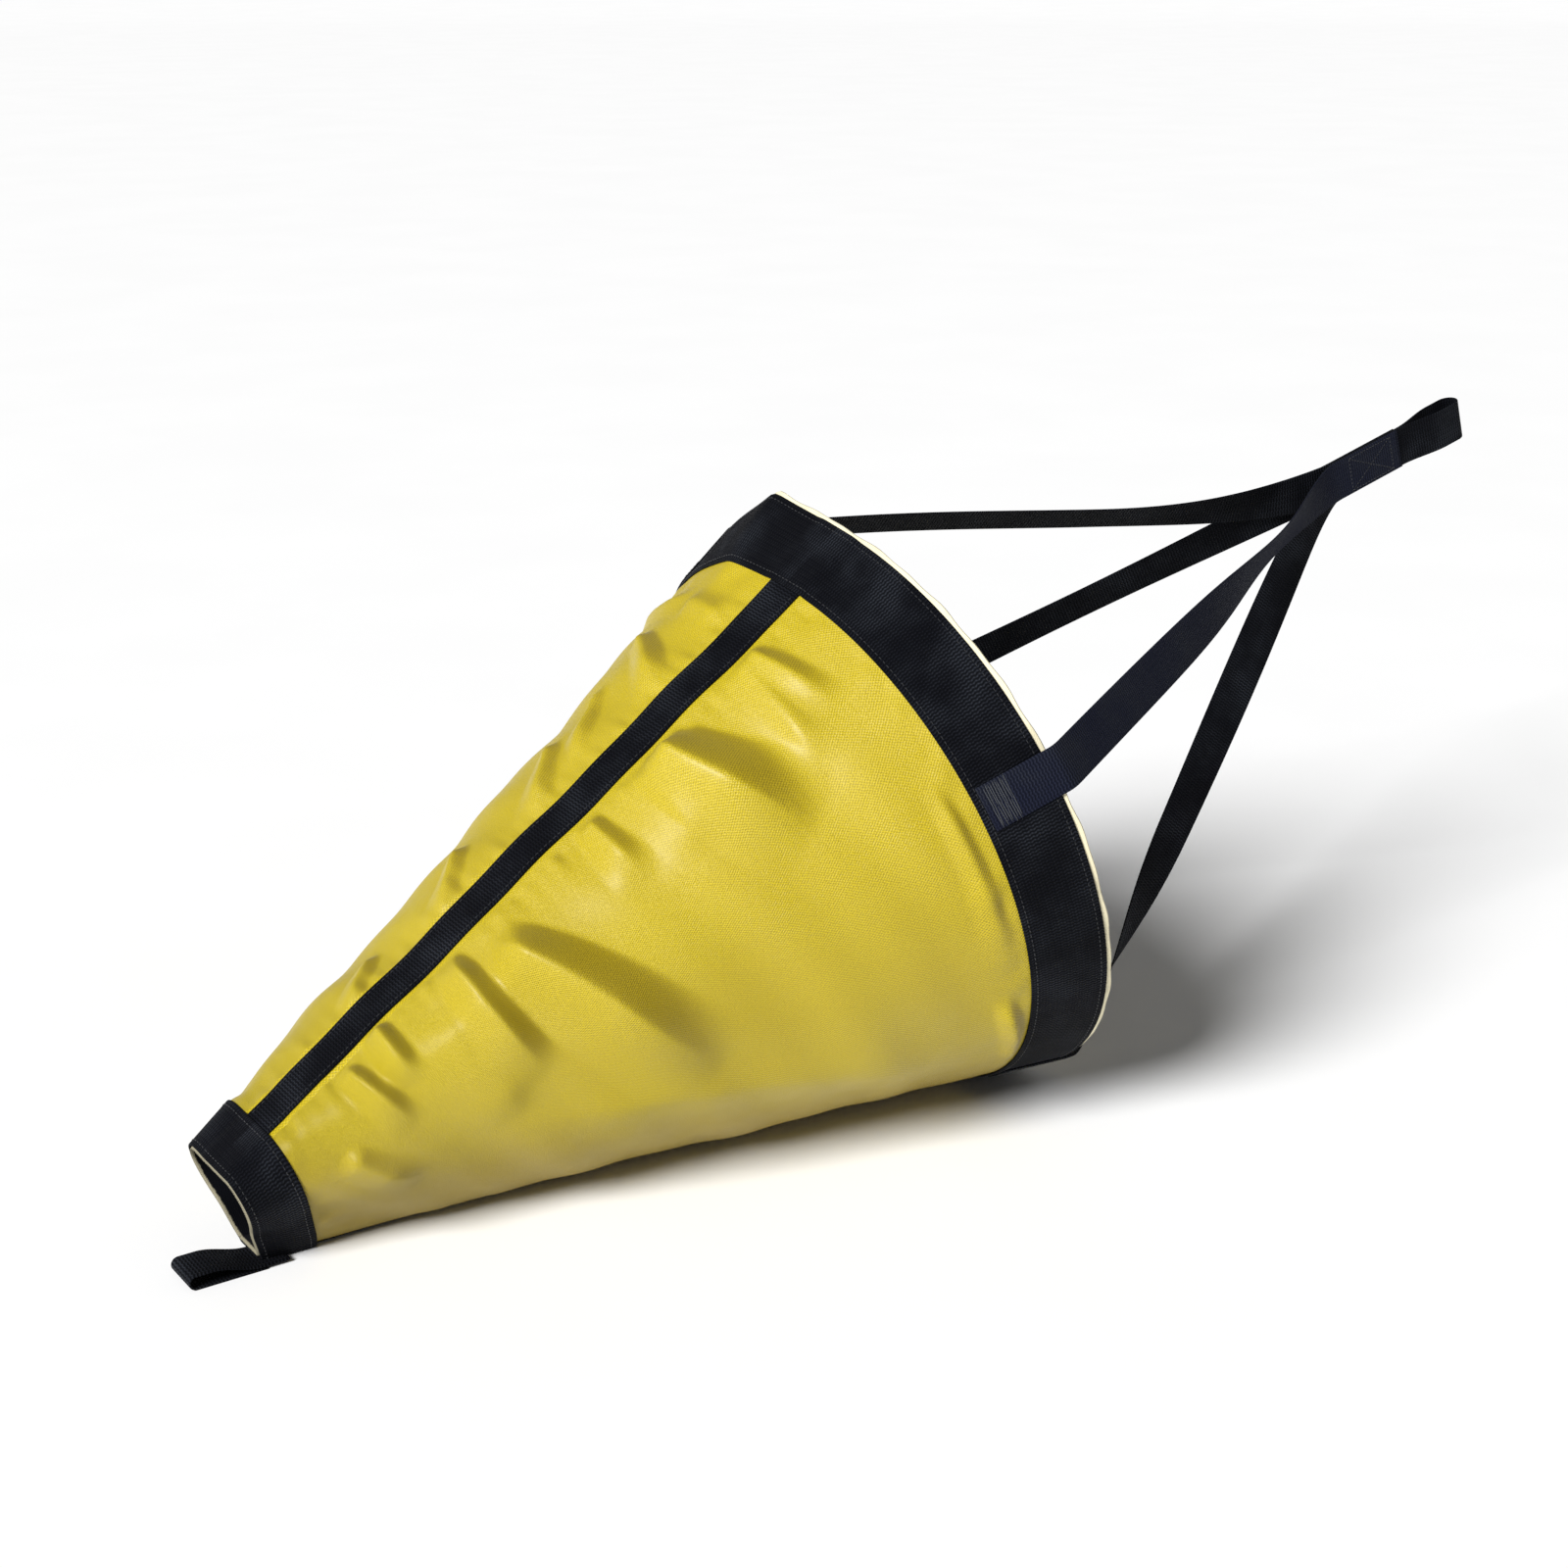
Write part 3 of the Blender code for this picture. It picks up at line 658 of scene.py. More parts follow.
def stitch_places(line, normals, pitch):
    """Where the stitches of a row go: centres, headings and normals."""
    along = run(line)
    count = max(2, int(round(along[-1] / pitch)))
    places = (np.arange(count) + 0.5) * along[-1] / count
    both = np.concatenate([line, normals], axis=1)
    here = resample(both, places)
    ahead = resample(both, places + pitch * 0.2)
    back = resample(both, places - pitch * 0.2)
    heading = unit(ahead[:, :3] - back[:, :3])
    outwards = unit(here[:, 3:] - heading * (here[:, 3:] * heading).sum(1, keepdims=True))
    return here[:, :3], heading, outwards


def dress(obj, material, body, nodes=()):
    """Gives a finished piece its material, its body and the CAD nodes it shows."""
    for one in material if isinstance(material, tuple) else (material,):
        obj.data.materials.append(one)
    if body:
        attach(obj, body)
    if nodes:
        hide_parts(*nodes)
    return obj


# ---- materials -------------------------------------------------------------------------------
def add(tree, kind, settings=None, inputs=None):
    """A node with its settings and its unlinked values or links."""
    node = tree.nodes.new(kind)
    for key, value in (settings or {}).items():
        setattr(node, key, value)
    for key, value in (inputs or {}).items():
        if isinstance(value, bpy.types.NodeSocket):
            tree.links.new(value, node.inputs[key])
        else:
            node.inputs[key].default_value = value
    return node


def math(tree, operation, *values):
    node = add(tree, "ShaderNodeMath", {"operation": operation}, dict(enumerate(values)))
    return node.outputs[0]


def mix(tree, factor, first, second):
    node = add(tree, "ShaderNodeMix", {"data_type": "RGBA"}, {0: factor, 6: first, 7: second})
    return node.outputs[2]


def spread(tree, value, low, high, start=0.0, end=1.0):
    """A value remapped and clamped, with soft ends."""
    node = add(tree, "ShaderNodeMapRange", {"interpolation_type": "SMOOTHSTEP"},
               {0: value, 1: low, 2: high, 3: start, 4: end})
    return node.outputs[0]


def noise(tree, vector, scale, detail=3.0, roughness=0.55):
    node = add(tree, "ShaderNodeTexNoise", None,
               {"Vector": vector, "Scale": scale, "Detail": detail, "Roughness": roughness})
    return node.outputs["Fac"]


def group(name, inputs, outputs):
    """An empty node group with its sockets; inputs and outputs map names to socket kinds."""
    tree = bpy.data.node_groups.new(name, "ShaderNodeTree")
    for key, kind in inputs.items():
        tree.interface.new_socket(name=key, in_out="INPUT", socket_type=kind)
    for key, kind in outputs.items():
        tree.interface.new_socket(name=key, in_out="OUTPUT", socket_type=kind)
    return tree, tree.nodes.new("NodeGroupInput"), tree.nodes.new("NodeGroupOutput")


def parts_of(tree, vector):
    """The x, y and z of a vector."""
    return add(tree, "ShaderNodeSeparateXYZ", None, {0: vector}).outputs


def woven_group():
    """Webbing: rounded weft ribs across, cut into columns by the warp, with uneven yarn.
    Height is the product of a rib wave along the strap and a column wave across it."""
    tree, take, give = group(
        "Woven Ribs",
        {"Place": "NodeSocketVector", "Rib": "NodeSocketFloat", "Warp": "NodeSocketFloat"},
        {"Height": "NodeSocketFloat", "Rubbed": "NodeSocketFloat"},
    )
    place = take.outputs["Place"]
    parts = parts_of(tree, place)
    wobble = math(tree, "MULTIPLY", noise(tree, place, 160.0, 2.0), 1.6)
    ribs = math(tree, "DIVIDE", parts[0], take.outputs["Rib"])
    ribs = math(tree, "MULTIPLY_ADD", ribs, 2 * pi, wobble)
    warps = math(tree, "DIVIDE", parts[1], take.outputs["Warp"])
    warps = math(tree, "MULTIPLY", warps, 2 * pi)
    shift = math(tree, "SINE", math(tree, "MULTIPLY", warps, 0.5))
    ribs = math(tree, "MULTIPLY_ADD", shift, 0.8, ribs)
    wave = math(tree, "MULTIPLY_ADD", math(tree, "SINE", ribs), 0.5, 0.5)
    column = math(tree, "MULTIPLY_ADD", math(tree, "SINE", warps), 0.22, 0.78)
    height = math(tree, "MULTIPLY", wave, column)
    fuzz = noise(tree, place, 2400.0, 2.0)
    height = math(tree, "MULTIPLY_ADD", fuzz, 0.25, height)
    patch = noise(tree, place, 22.0, 4.0)
    rubbed = math(tree, "MULTIPLY", spread(tree, patch, 0.35, 0.70, 0.12, 1.0), height)
    rubbed = math(tree, "POWER", rubbed, 1.5)
    tree.links.new(height, give.inputs["Height"])
    tree.links.new(rubbed, give.inputs["Rubbed"])


def pebble_group():
    """Coated cloth: a plain weave softened by its coating. Height is the sum of the two
    thread waves with fine noise; Mottle is slow colour variation."""
    tree, take, give = group(
        "Coated Weave",
        {"Place": "NodeSocketVector", "Object": "NodeSocketVector", "Pitch": "NodeSocketFloat"},
        {"Height": "NodeSocketFloat", "Mottle": "NodeSocketFloat"},
    )
    place = take.outputs["Place"]
    parts = parts_of(tree, place)
    bend = math(tree, "MULTIPLY", noise(tree, place, 90.0, 2.0), 3.0)
    threads = []
    for part in parts[:2]:
        thread_wave = math(tree, "DIVIDE", part, take.outputs["Pitch"])
        thread_wave = math(tree, "MULTIPLY_ADD", thread_wave, 2 * pi, bend)
        threads.append(math(tree, "SINE", thread_wave))
    cross = math(tree, "MULTIPLY", *threads)
    grain = noise(tree, place, 900.0, 2.0)
    height = math(tree, "MULTIPLY_ADD", cross, 0.25, math(tree, "MULTIPLY", grain, 0.9))
    mottle = noise(tree, take.outputs["Object"], 9.0, 5.0)
    tree.links.new(height, give.inputs["Height"])
    tree.links.new(mottle, give.inputs["Mottle"])


def new_material(name, roughness, constants):
    material = bpy.data.materials.new(name)
    material.use_nodes = True
    tree = material.node_tree
    shader = tree.nodes["Principled BSDF"]
    shader.inputs["Roughness"].default_value = roughness
    for key, value in constants.items():
        shader.inputs[key].default_value = value
    uv = add(tree, "ShaderNodeUVMap", {"uv_map": "UVMap"}).outputs["UV"]
    place = add(tree, "ShaderNodeTexCoord").outputs["Object"]
    return material, tree, shader, uv, place


def finish(tree, shader, colour, height, distance, strength):
    """Gives a shader its colour and a relief of some distance."""
    tree.links.new(colour, shader.inputs["Base Color"])
    node = add(tree, "ShaderNodeBump", None,
               {"Height": height, "Distance": distance, "Strength": strength})
    tree.links.new(node.outputs["Normal"], shader.inputs["Normal"])


def use_group(tree, name, inputs):
    return add(tree, "ShaderNodeGroup", {"node_tree": bpy.data.node_groups[name]}, inputs)


def darker(colour, share):
    return (*(c * share for c in colour), 1)


def fabric_material(settings):
    """Yellow coating: mottled, with painted shade low down and on the folds' flanks that face
    the mouth, and the weave's pits painted darker and its tops painted lighter.
    """
    material, tree, shader, uv, place = new_material(
        "Coated fabric", 0.42, {"Specular IOR Level": 0.36, "Coat Roughness": 0.34,
                                "Sheen Weight": 0.05, "IOR": 1.48})
    weave = use_group(tree, "Coated Weave", {"Place": uv, "Object": place,
                                             "Pitch": settings.weave})
    mottle = spread(tree, weave.outputs["Mottle"], 0.32, 0.70)
    colour = mix(tree, mottle, (*settings.shade, 1), (*settings.colour, 1))
    colour = mix(tree, math(tree, "MULTIPLY", mottle, 0.55), (*settings.colour, 1), colour)
    # Painted shade: the colour darkens towards the bottom of the sock, low in its own frame,
    # with a noise-ragged edge.
    underside_shade_noise = noise(tree, place, 16.0, 4.0)
    low = math(tree, "MULTIPLY_ADD", underside_shade_noise, 0.05, parts_of(tree, place)[2])
    painted_underside_shade = math(tree, "MULTIPLY", spread(tree, low, 0.125, 0.045), 0.7)
    colour = mix(tree, painted_underside_shade, colour, (*settings.painted_underside_shade, 1))
    # Painted shade: darkens the colour on the folds' flanks that face the mouth, from the fold
    # slope stored on the mesh.
    steep = add(tree, "ShaderNodeAttribute", {"attribute_name": "Painted fold shade"}).outputs["Fac"]
    steep = math(tree, "MULTIPLY", spread(tree, steep, 0.08, 0.7), 0.55)
    colour = mix(tree, steep, colour, (*settings.painted_fold_shade, 1))
    # Painted shade and highlight: the colour is scaled darker in the weave's low places and
    # lighter on its tops, following its bump height.
    weave_shade_and_highlight = spread(tree, weave.outputs["Height"], 0.25, 0.62, 0.74, 1.14)
    colour = add(tree, "ShaderNodeVectorMath", {"operation": "SCALE"},
                 {0: colour, "Scale": weave_shade_and_highlight}).outputs[0]
    rough = spread(tree, noise(tree, place, 26.0, 3.0), 0.3, 0.7, 0.36, 0.50)
    tree.links.new(rough, shader.inputs["Roughness"])
    tree.links.new(spread(tree, mottle, 0.0, 1.0, 0.10, 0.28), shader.inputs["Coat Weight"])
    finish(tree, shader, colour, weave.outputs["Height"], 0.0006, 1.0)
    return material


def lining_material(settings):
    """Cream cloth with some dirt, and painted shade darkening it near the tail end."""
    material, tree, shader, uv, place = new_material(
        "Cream lining", 0.68, {"Sheen Weight": 0.2, "Sheen Roughness": 0.5})
    weave = use_group(tree, "Coated Weave", {"Place": uv, "Object": place,
                                             "Pitch": settings.weave * 0.7})
    dirt = spread(tree, noise(tree, place, 40.0, 4.0), 0.45, 0.75)
    colour = mix(tree, dirt, (*settings.lining, 1), darker(settings.lining, 0.72))
    # Painted shade: the lining darkens towards the tail end, between x = -0.40 and -0.47 in the
    # part's frame, with an edge made uneven by the dirt noise.
    back = math(tree, "MULTIPLY_ADD", dirt, 0.01, parts_of(tree, place)[0])
    colour = mix(tree, spread(tree, back, -0.40, -0.47, 0.0, 0.94), colour,
                 (*settings.painted_tail_shade, 1))
    finish(tree, shader, colour, weave.outputs["Height"], 0.0003, 0.7)
    return material


def raw_hem_material(settings, dark):
    """The hem inside the tail: painted dark in the webbing's colour, partly for the band folded
    inside and partly as painted shade inside the tail, with a pale frayed edge of uneven width
    at its rim.
    """
    material, tree, shader, uv, place = new_material(
        "Raw hem", 0.82, {"Specular IOR Level": 0.1, "Sheen Weight": 0.02})
    weave = use_group(tree, "Coated Weave", {"Place": uv, "Object": place,
                                             "Pitch": settings.weave * 0.6})
    ragged = noise(tree, place, 420.0, 3.0)
    across = math(tree, "MULTIPLY_ADD", ragged, 0.0022, parts_of(tree, uv)[1])
    edge = spread(tree, across, 0.0086, 0.0094, 0.0, 0.8)
    # Painted shade: the hem's body takes the dark colour passed in, the webbing's; the frayed
    # edge is the lining darkened to 42%.
    colour = mix(tree, edge, (*dark, 1), darker(settings.lining, 0.42))
    finish(tree, shader, colour, weave.outputs["Height"], 0.0004, 0.9)
    return material


def webbing_material(settings, name="Webbing", lift=1.0):
    """Woven yarn, with painted shade between its ribs and rubbed grey on their tops."""
    material, tree, shader, uv, _ = new_material(
        name, 0.72, {"Sheen Weight": 0.008, "Sheen Roughness": 0.45,
                     "Specular IOR Level": 0.07})
    weave = use_group(tree, "Woven Ribs", {"Place": uv, "Rib": settings.pitch,
                                           "Warp": settings.warp})
    # Painted shade: the yarn's colour darkens where the rib height is low, between the ribs.
    colour = mix(tree, spread(tree, weave.outputs["Height"], 0.05, 0.75),
                 darker(settings.colour, 0.45 * lift), darker(settings.colour, lift))
    colour = mix(tree, weave.outputs["Rubbed"], colour, (*settings.worn, 1))
    rough = spread(tree, weave.outputs["Height"], 0.0, 1.0, 0.86, 0.62)
    tree.links.new(rough, shader.inputs["Roughness"])
    finish(tree, shader, colour, weave.outputs["Height"], 0.0007, 1.0)
    return material


def thread_material(name, colour):
    """Twisted thread: slanting strands from the place along and around each stitch."""
    material, tree, shader, uv, _ = new_material(name, 0.5, {"Sheen Weight": 0.1})
    parts = parts_of(tree, uv)
    twist = math(tree, "MULTIPLY_ADD", parts[0], 5.0, parts[1])
    strand = math(tree, "SINE", math(tree, "MULTIPLY", twist, 2 * pi * 2))
    # Painted shade between the slanting strands.
    shade = mix(tree, spread(tree, strand, -1.0, 1.0), darker(colour, 0.5), (*colour, 1))
    finish(tree, shader, shade, strand, 0.0001, 0.6)
    return material


def floor_material(settings):
    material, tree, shader, _, place = new_material("Studio floor", 0.75,
                                                    {"Specular IOR Level": 0.15})
    cloud = spread(tree, noise(tree, place, 3.0, 3.0), 0.3, 0.7)
    tree.links.new(mix(tree, cloud, darker(settings.floor, 0.985), (*settings.floor, 1)),
                   shader.inputs["Base Color"])
    return material


def shared(name, make):
    """A material by name, made the first time it is asked for."""
    return bpy.data.materials.get(name) or make()


def webbing():
    return shared("Webbing", lambda: webbing_material(bpy.context.scene.sock_webbing))


def paler_webbing():
    """A paler copy of the webbing, for the leg that lies uppermost."""
    settings = bpy.context.scene.sock_webbing
    return shared("Paler webbing",
                  lambda: webbing_material(settings, "Paler webbing", PALER_LIFT))


def thread():
    colour = bpy.context.scene.sock_stitches.colour
    return shared("Sewing thread", lambda: thread_material("Sewing thread", colour))


def tack_thread():
    colour = bpy.context.scene.sock_stitches.tack_colour
    return shared("Bar tack thread", lambda: thread_material("Bar tack thread", colour))


def lining():
    return shared("Cream lining", lambda: lining_material(bpy.context.scene.sock_fabric))


# ---- pieces ----------------------------------------------------------------------------------
def fabric_stations():
    count = int((SOCK_LENGTH - 0.012) / STATION_STEP)
    return np.linspace(0.008, SOCK_LENGTH - 0.004, count)


def build_fabric(scene):
    """Both panels: the folded surface, given the fabric's thickness."""
    settings = scene.sock_fabric
    stations = fabric_stations()
    plain, outwards = surface(stations, 0)
    points = surface(stations, settings.fold_depth)[0]
    height = ((points - plain) * outwards).sum(axis=2)
    steep = np.gradient(height, stations, axis=0)
    fabric = shared("Coated fabric", lambda: fabric_material(settings))
    around = run(np.concatenate([MOUTH_SECTION, MOUTH_SECTION[:1]]))
    for name, node, first, last in (
        ("fabric_near", "panel_near", TOP, BOTTOM),
        ("fabric_far", "panel_far", BOTTOM, COLUMNS),
    ):
        columns = np.arange(first, last + 1) % COLUMNS
        part = points[:, columns].copy()
        for end, inner in ((0, 1), (-1, -2)):
            part[:, end] += unit(part[:, inner] - part[:, end]) * PANEL_GAP
        obj = grid_mesh(name, part, stations, around[first:last + 1])
        # The folds' slope along the sock, stored as the mask for the painted fold shade.
        painted_fold_shade = obj.data.attributes.new("Painted fold shade", "FLOAT", "POINT")
        painted_fold_shade.data.foreach_set("value", np.clip(steep[:, columns], 0, 1).ravel())
        solid = obj.modifiers.new("Thickness", "SOLIDIFY")
        solid.thickness = settings.thickness
        solid.offset = 0.0
        solid.use_even_offset = True
        solid.material_offset = 1
        solid.material_offset_rim = 1
        dress(obj, (fabric, lining()), "sock", (node,))


def turned_edge(thickness):
    """The mouth hem's middle across it: inside the fabric, round its edge and back outside."""
    inner = -(thickness / 2 + MOUTH_HEM_AIR)
    turn = np.linspace(0, pi, 9)[1:-1]
    stations = np.concatenate([
        np.linspace(MOUTH_HEM_INSIDE, MOUTH_HEM_EDGE, 8),
        MOUTH_HEM_EDGE - MOUTH_HEM_TURN * np.sin(turn),
        [MOUTH_HEM_EDGE, MOUTH_HEM_OUTSIDE],
    ])
    heights = np.concatenate([
        np.full(8, inner),
        inner + MOUTH_HEM_TURN * (1 - np.cos(turn)),
        [inner + 2 * MOUTH_HEM_TURN] * 2,
    ])
    return stations, heights


def ring_lattice(stations, rise):
    """Rows round the sock and columns along it, over the plain cone: points and normals."""
    points, normals = surface(stations, 0.0)
    lattice = (points + normals * rise).transpose(1, 0, 2)
    return lattice, wrapped_normals(lattice, normals.transpose(1, 0, 2))


def wrapped_normals(lattice, sign_from):
    around = np.roll(lattice, -1, axis=0) - np.roll(lattice, 1, axis=0)
    across = np.gradient(lattice, axis=1)
    normals = unit(np.cross(around, across))
    flip = np.sign((normals[:, 0] * sign_from[:, 0]).sum(axis=1))
    return normals * flip[:, None, None]


def build_hems(scene):
    """The hems: the mouth's is pale and turned outwards over its edge; the tail's is raw and
    painted dark, partly as painted shade inside the tail.
    """
    settings = scene.sock_fabric
    stations, heights = turned_edge(settings.thickness)
    points, outer = surface(stations, 0.0)
    lattice = (points + outer * heights[:, None, None]).transpose(1, 0, 2)
    angle = np.radians(SECTION_ANGLES)
    wobble = HEM_WOBBLE * (np.sin(angle * 23) + np.sin(angle * 41 + 1.3))
    front = ease(-stations, -0.002, 0.003)
    lattice = lattice + AXIS * (wobble[:, None] * front[None])[..., None]
    normals = wrapped_normals(lattice, outer.transpose(1, 0, 2))
    across = run(lattice[0]) - run(lattice[0])[-1] / 2
    obj = slab("mouth_lip", lattice, normals, across, HEM_THICK, wrap=True)
    dress(obj, lining(), "sock", ("mouth_hem",))

    stations = np.linspace(SOCK_LENGTH - TAIL_HEM_INSIDE, SOCK_LENGTH + TAIL_HEM_PAST, 10)
    lattice, normals = ring_lattice(stations, -(settings.thickness / 2 + TAIL_HEM_AIR))
    across = run(lattice[0]) - run(lattice[0])[-1] / 2
    obj = slab("tail_lip", lattice, normals, across, HEM_THICK, wrap=True)
    # The tail hem is painted in the webbing's dark colour, partly as painted shade inside the
    # tail.
    raw = shared("Raw hem", lambda: raw_hem_material(settings, scene.sock_webbing.colour))
    dress(obj, raw, "sock", ("tail_hem",))


def band_rise(row):
    """How high a band's middle is above the fabric's, for one row of columns: snug, and
    higher over the ribs."""
    snug = FABRIC_THICK / 2 + SNUG + BAND_THICK / 2
    return snug + (BAND_LAYER - snug) * over_ribs(row)


def build_bands():
    """The mouth and tail bands, woven straps wrapped round the sock over the ribs' ends."""
    for name, node, start, width in (
        ("mouth_webbing", "mouth_band", 0.0, MOUTH_BAND),
        ("tail_webbing", "tail_band", SOCK_LENGTH - TAIL_BAND, TAIL_BAND),
    ):
        across = places_across(width, BAND_THICK, 12)
        stations = start + width / 2 + across
        rise = np.stack([band_rise(row) for row in surface(stations, 0.0)[0]])
        lattice, face = ring_lattice(stations, rise[..., None])
        obj = slab(name, lattice, face, across, BAND_THICK, wrap=True)
        dress(obj, webbing(), "sock", (node,))


def rib_line(middle, stations, depth):
    """A rib's middle, its direction across and its outward normal, for each station."""
    points, normals = surface(stations, depth)
    across = unit(np.roll(points, -1, axis=1)[:, middle] - np.roll(points, 1, axis=1)[:, middle])
    heading = unit(np.gradient(points[:, middle], axis=0))
    outwards = unit(np.cross(heading, across))
    outwards = outwards * np.sign((outwards * normals[:, middle]).sum(1, keepdims=True))
    return points[:, middle], across, outwards


def build_ribs(scene):
    """The two ribs over the panels' seams."""
    depth = scene.sock_fabric.fold_depth
    for name, middle, end in (("rib_top", TOP, 0.003), ("rib_bottom", BOTTOM, 0.022)):
        stations = np.linspace(0.003, SOCK_LENGTH - end, 260)
        centre, width, outwards = rib_line(middle, stations, depth)
        centre = centre + outwards * (FABRIC_THICK / 2 + RIB_AIR + WEBBING_THICK / 2)
        obj = strap(f"{name}_strap", centre, width, outwards)
        dress(obj, webbing(), "sock", (name,))


def leg_line(name):
    """A leg's middle, width direction and how far it is bent to the band's curve."""
    coarse = [TOP, *range(NEAR_START, NEAR_END + 1, FINER), BOTTOM,
              *range(FAR_START, FAR_END + 1, FINER)]
    turned = np.abs((SECTION_ANGLES[coarse] - LEG_ANGLES[name] + 180) % 360 - 180)
    column = coarse[int(turned.argmin())]
    height = FABRIC_THICK / 2 + 2 * SNUG + BAND_THICK + WEBBING_THICK / 2
    stations = np.linspace(LEG_SEWN, -RIM_REACH, 24)
    points, normals = surface(stations, 0.0)
    sewn = points[:, column] + normals[:, column] * height
    forward = unit(sewn[-1] - sewn[-2])
    tangent = points[-1, (column + 1) % COLUMNS] - points[-1, column - 1]
    root_width = unit(tangent - forward * (tangent @ forward))

    start = NECK_ENTRY + NECK_FACE * LEG_PITCH * LEG_LAYER[name]
    corner = sewn[-1] + forward * RIM_TURN
    away = unit(start - corner)
    turn = bezier([sewn[-1], corner, corner + away * RIM_TURN * 2], 9)
    span = bezier([turn[-1], turn[-1] + away * 0.15, start - away * 0.15,
                   start - NECK_DIRECTION * 0.035, start], 110)
    along = np.linspace(0, 1, len(span))
    span[:, 2] -= LEG_SAG[name] * np.sin(np.pi * along) ** 2 * (0.4 + 1.2 * along)
    end = NECK_LENGTH - NECK_CLEAR
    if abs(LEG_LAYER[name]) < 1:
        end = NECK_LENGTH - 0.024
    neck = start + np.outer(np.linspace(0.004, end, 16), NECK_DIRECTION)
    centre = np.concatenate([sewn, turn[1:], span[1:], neck])
    free = slice(len(sewn) + len(turn) - 2, len(sewn) + len(turn) - 2 + len(span))
    progress = np.zeros(len(centre))
    progress[free] = ease(along, *LEG_TURN[name])
    progress[free.stop:] = 1
    heading = unit(np.gradient(centre, axis=0))
    neck_width = NECK_WIDTH * np.sign(NECK_WIDTH @ root_width)
    width = (1 - progress)[:, None] * root_width + progress[:, None] * neck_width
    width = unit(width - heading * (width * heading).sum(axis=1)[:, None])
    most, middle, spread_out = LEG_ROLL[name]
    roll = np.zeros(len(centre))
    roll[free] = most * np.exp(-(((along - middle) / spread_out) ** 2))
    roll[free] *= ease(along, 0, 0.12) * (1 - ease(along, 0.86, 1))
    roll = np.radians(roll)[:, None]
    width = width * np.cos(roll) + np.cross(heading, width) * np.sin(roll)
    curl = np.zeros(len(centre))
    curl[:len(sewn)] = 1
    curl[len(sewn):] = 1 - ease(np.arange(len(centre) - len(sewn)), 0, 40)
    face = unit(np.cross(heading, width))
    face = face * np.sign(face[0] @ normals[0, column])
    return centre, width, face, curl


def build_legs():
    """The four bridle legs: straps sewn on the band that twist into the upright neck."""
    for name in LEG_ANGLES:
        centre, width, face, bend = leg_line(name)
        obj = strap(f"leg_{name}", centre, width, face, bend)
        material = paler_webbing() if name == "side_near" else webbing()
        dress(obj, material, "sock", (f"bridle_leg_{name}",))


def eye_path(length, half_gap, lean, steps=60):
    """A flat eye's outline: its place along the loop and to one side of it."""
    root_half = WEBBING_THICK / 2 + EYE_ROOT_GAP / 2
    straight = length - half_gap
    out = np.linspace(0, 1, steps)
    eased = np.clip(out / 0.75, 0, 1)
    gap = root_half + (half_gap - root_half) * eased * eased * (3 - 2 * eased)
    turn = np.linspace(0, np.pi, 26)[1:-1]
    along = np.concatenate(
        [straight * out, straight + half_gap * np.sin(turn), straight * out[::-1]])
    across = np.concatenate([-gap, -half_gap * np.cos(turn), gap[::-1]])
    half = np.concatenate([gap, np.full(len(turn), half_gap), gap[::-1]])
    return along, across + lean * (half - root_half)


def loop_strap(name, centre, width_axis, start_normal):
    """An eye of webbing whose width has one direction all along, not yet on a body."""
    width = np.repeat(width_axis[None], len(centre), axis=0)
    face = unit(np.cross(unit(np.gradient(centre, axis=0)), width))
    face = face * np.sign(face[0] @ start_normal)
    return dress(strap(name, centre, width, face), webbing(), None)


def build_tow_loop():
    """The tow eye: one strip whose ends lie in the neck between the two outer legs."""
    along, across = eye_path(TOW_LOOP_LENGTH, TOW_LOOP_HALF_GAP, 0.0)
    tuck = np.linspace(-0.022, -0.001, 12)
    side = np.full(12, LEG_PITCH / 2)
    along = np.concatenate([tuck, along, tuck[::-1]])
    across = np.concatenate([-side, across, side])
    centre = TOW_HINGE + np.outer(along, NECK_DIRECTION) + np.outer(across, NECK_FACE)
    obj = loop_strap("tow_eye", centre, NECK_WIDTH, -NECK_FACE)
    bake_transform(obj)
    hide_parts("tow_loop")


def build_tail_loop():
    """The recovery eye: its upper end runs in under the tail band, its lower is cut short."""
    along, across = eye_path(TAIL_LOOP_LENGTH, TAIL_LOOP_HALF_GAP, 1.0)
    tuck = np.linspace(-0.018, -0.001, 12)
    upper = np.full(12, across[-1])
    along = np.concatenate([tuck, along[::-1], [-0.0026]])
    across = np.concatenate([upper, across[::-1], across[:1]])
    centre = TAIL_HINGE + np.outer(along, [-1.0, 0, 0]) + np.outer(across, [0, 0, 1.0])
    obj = loop_strap("tail_eye", centre, NEAR, np.array([0, 0, 1.0]))
    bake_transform(obj)
    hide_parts("tail_loop")


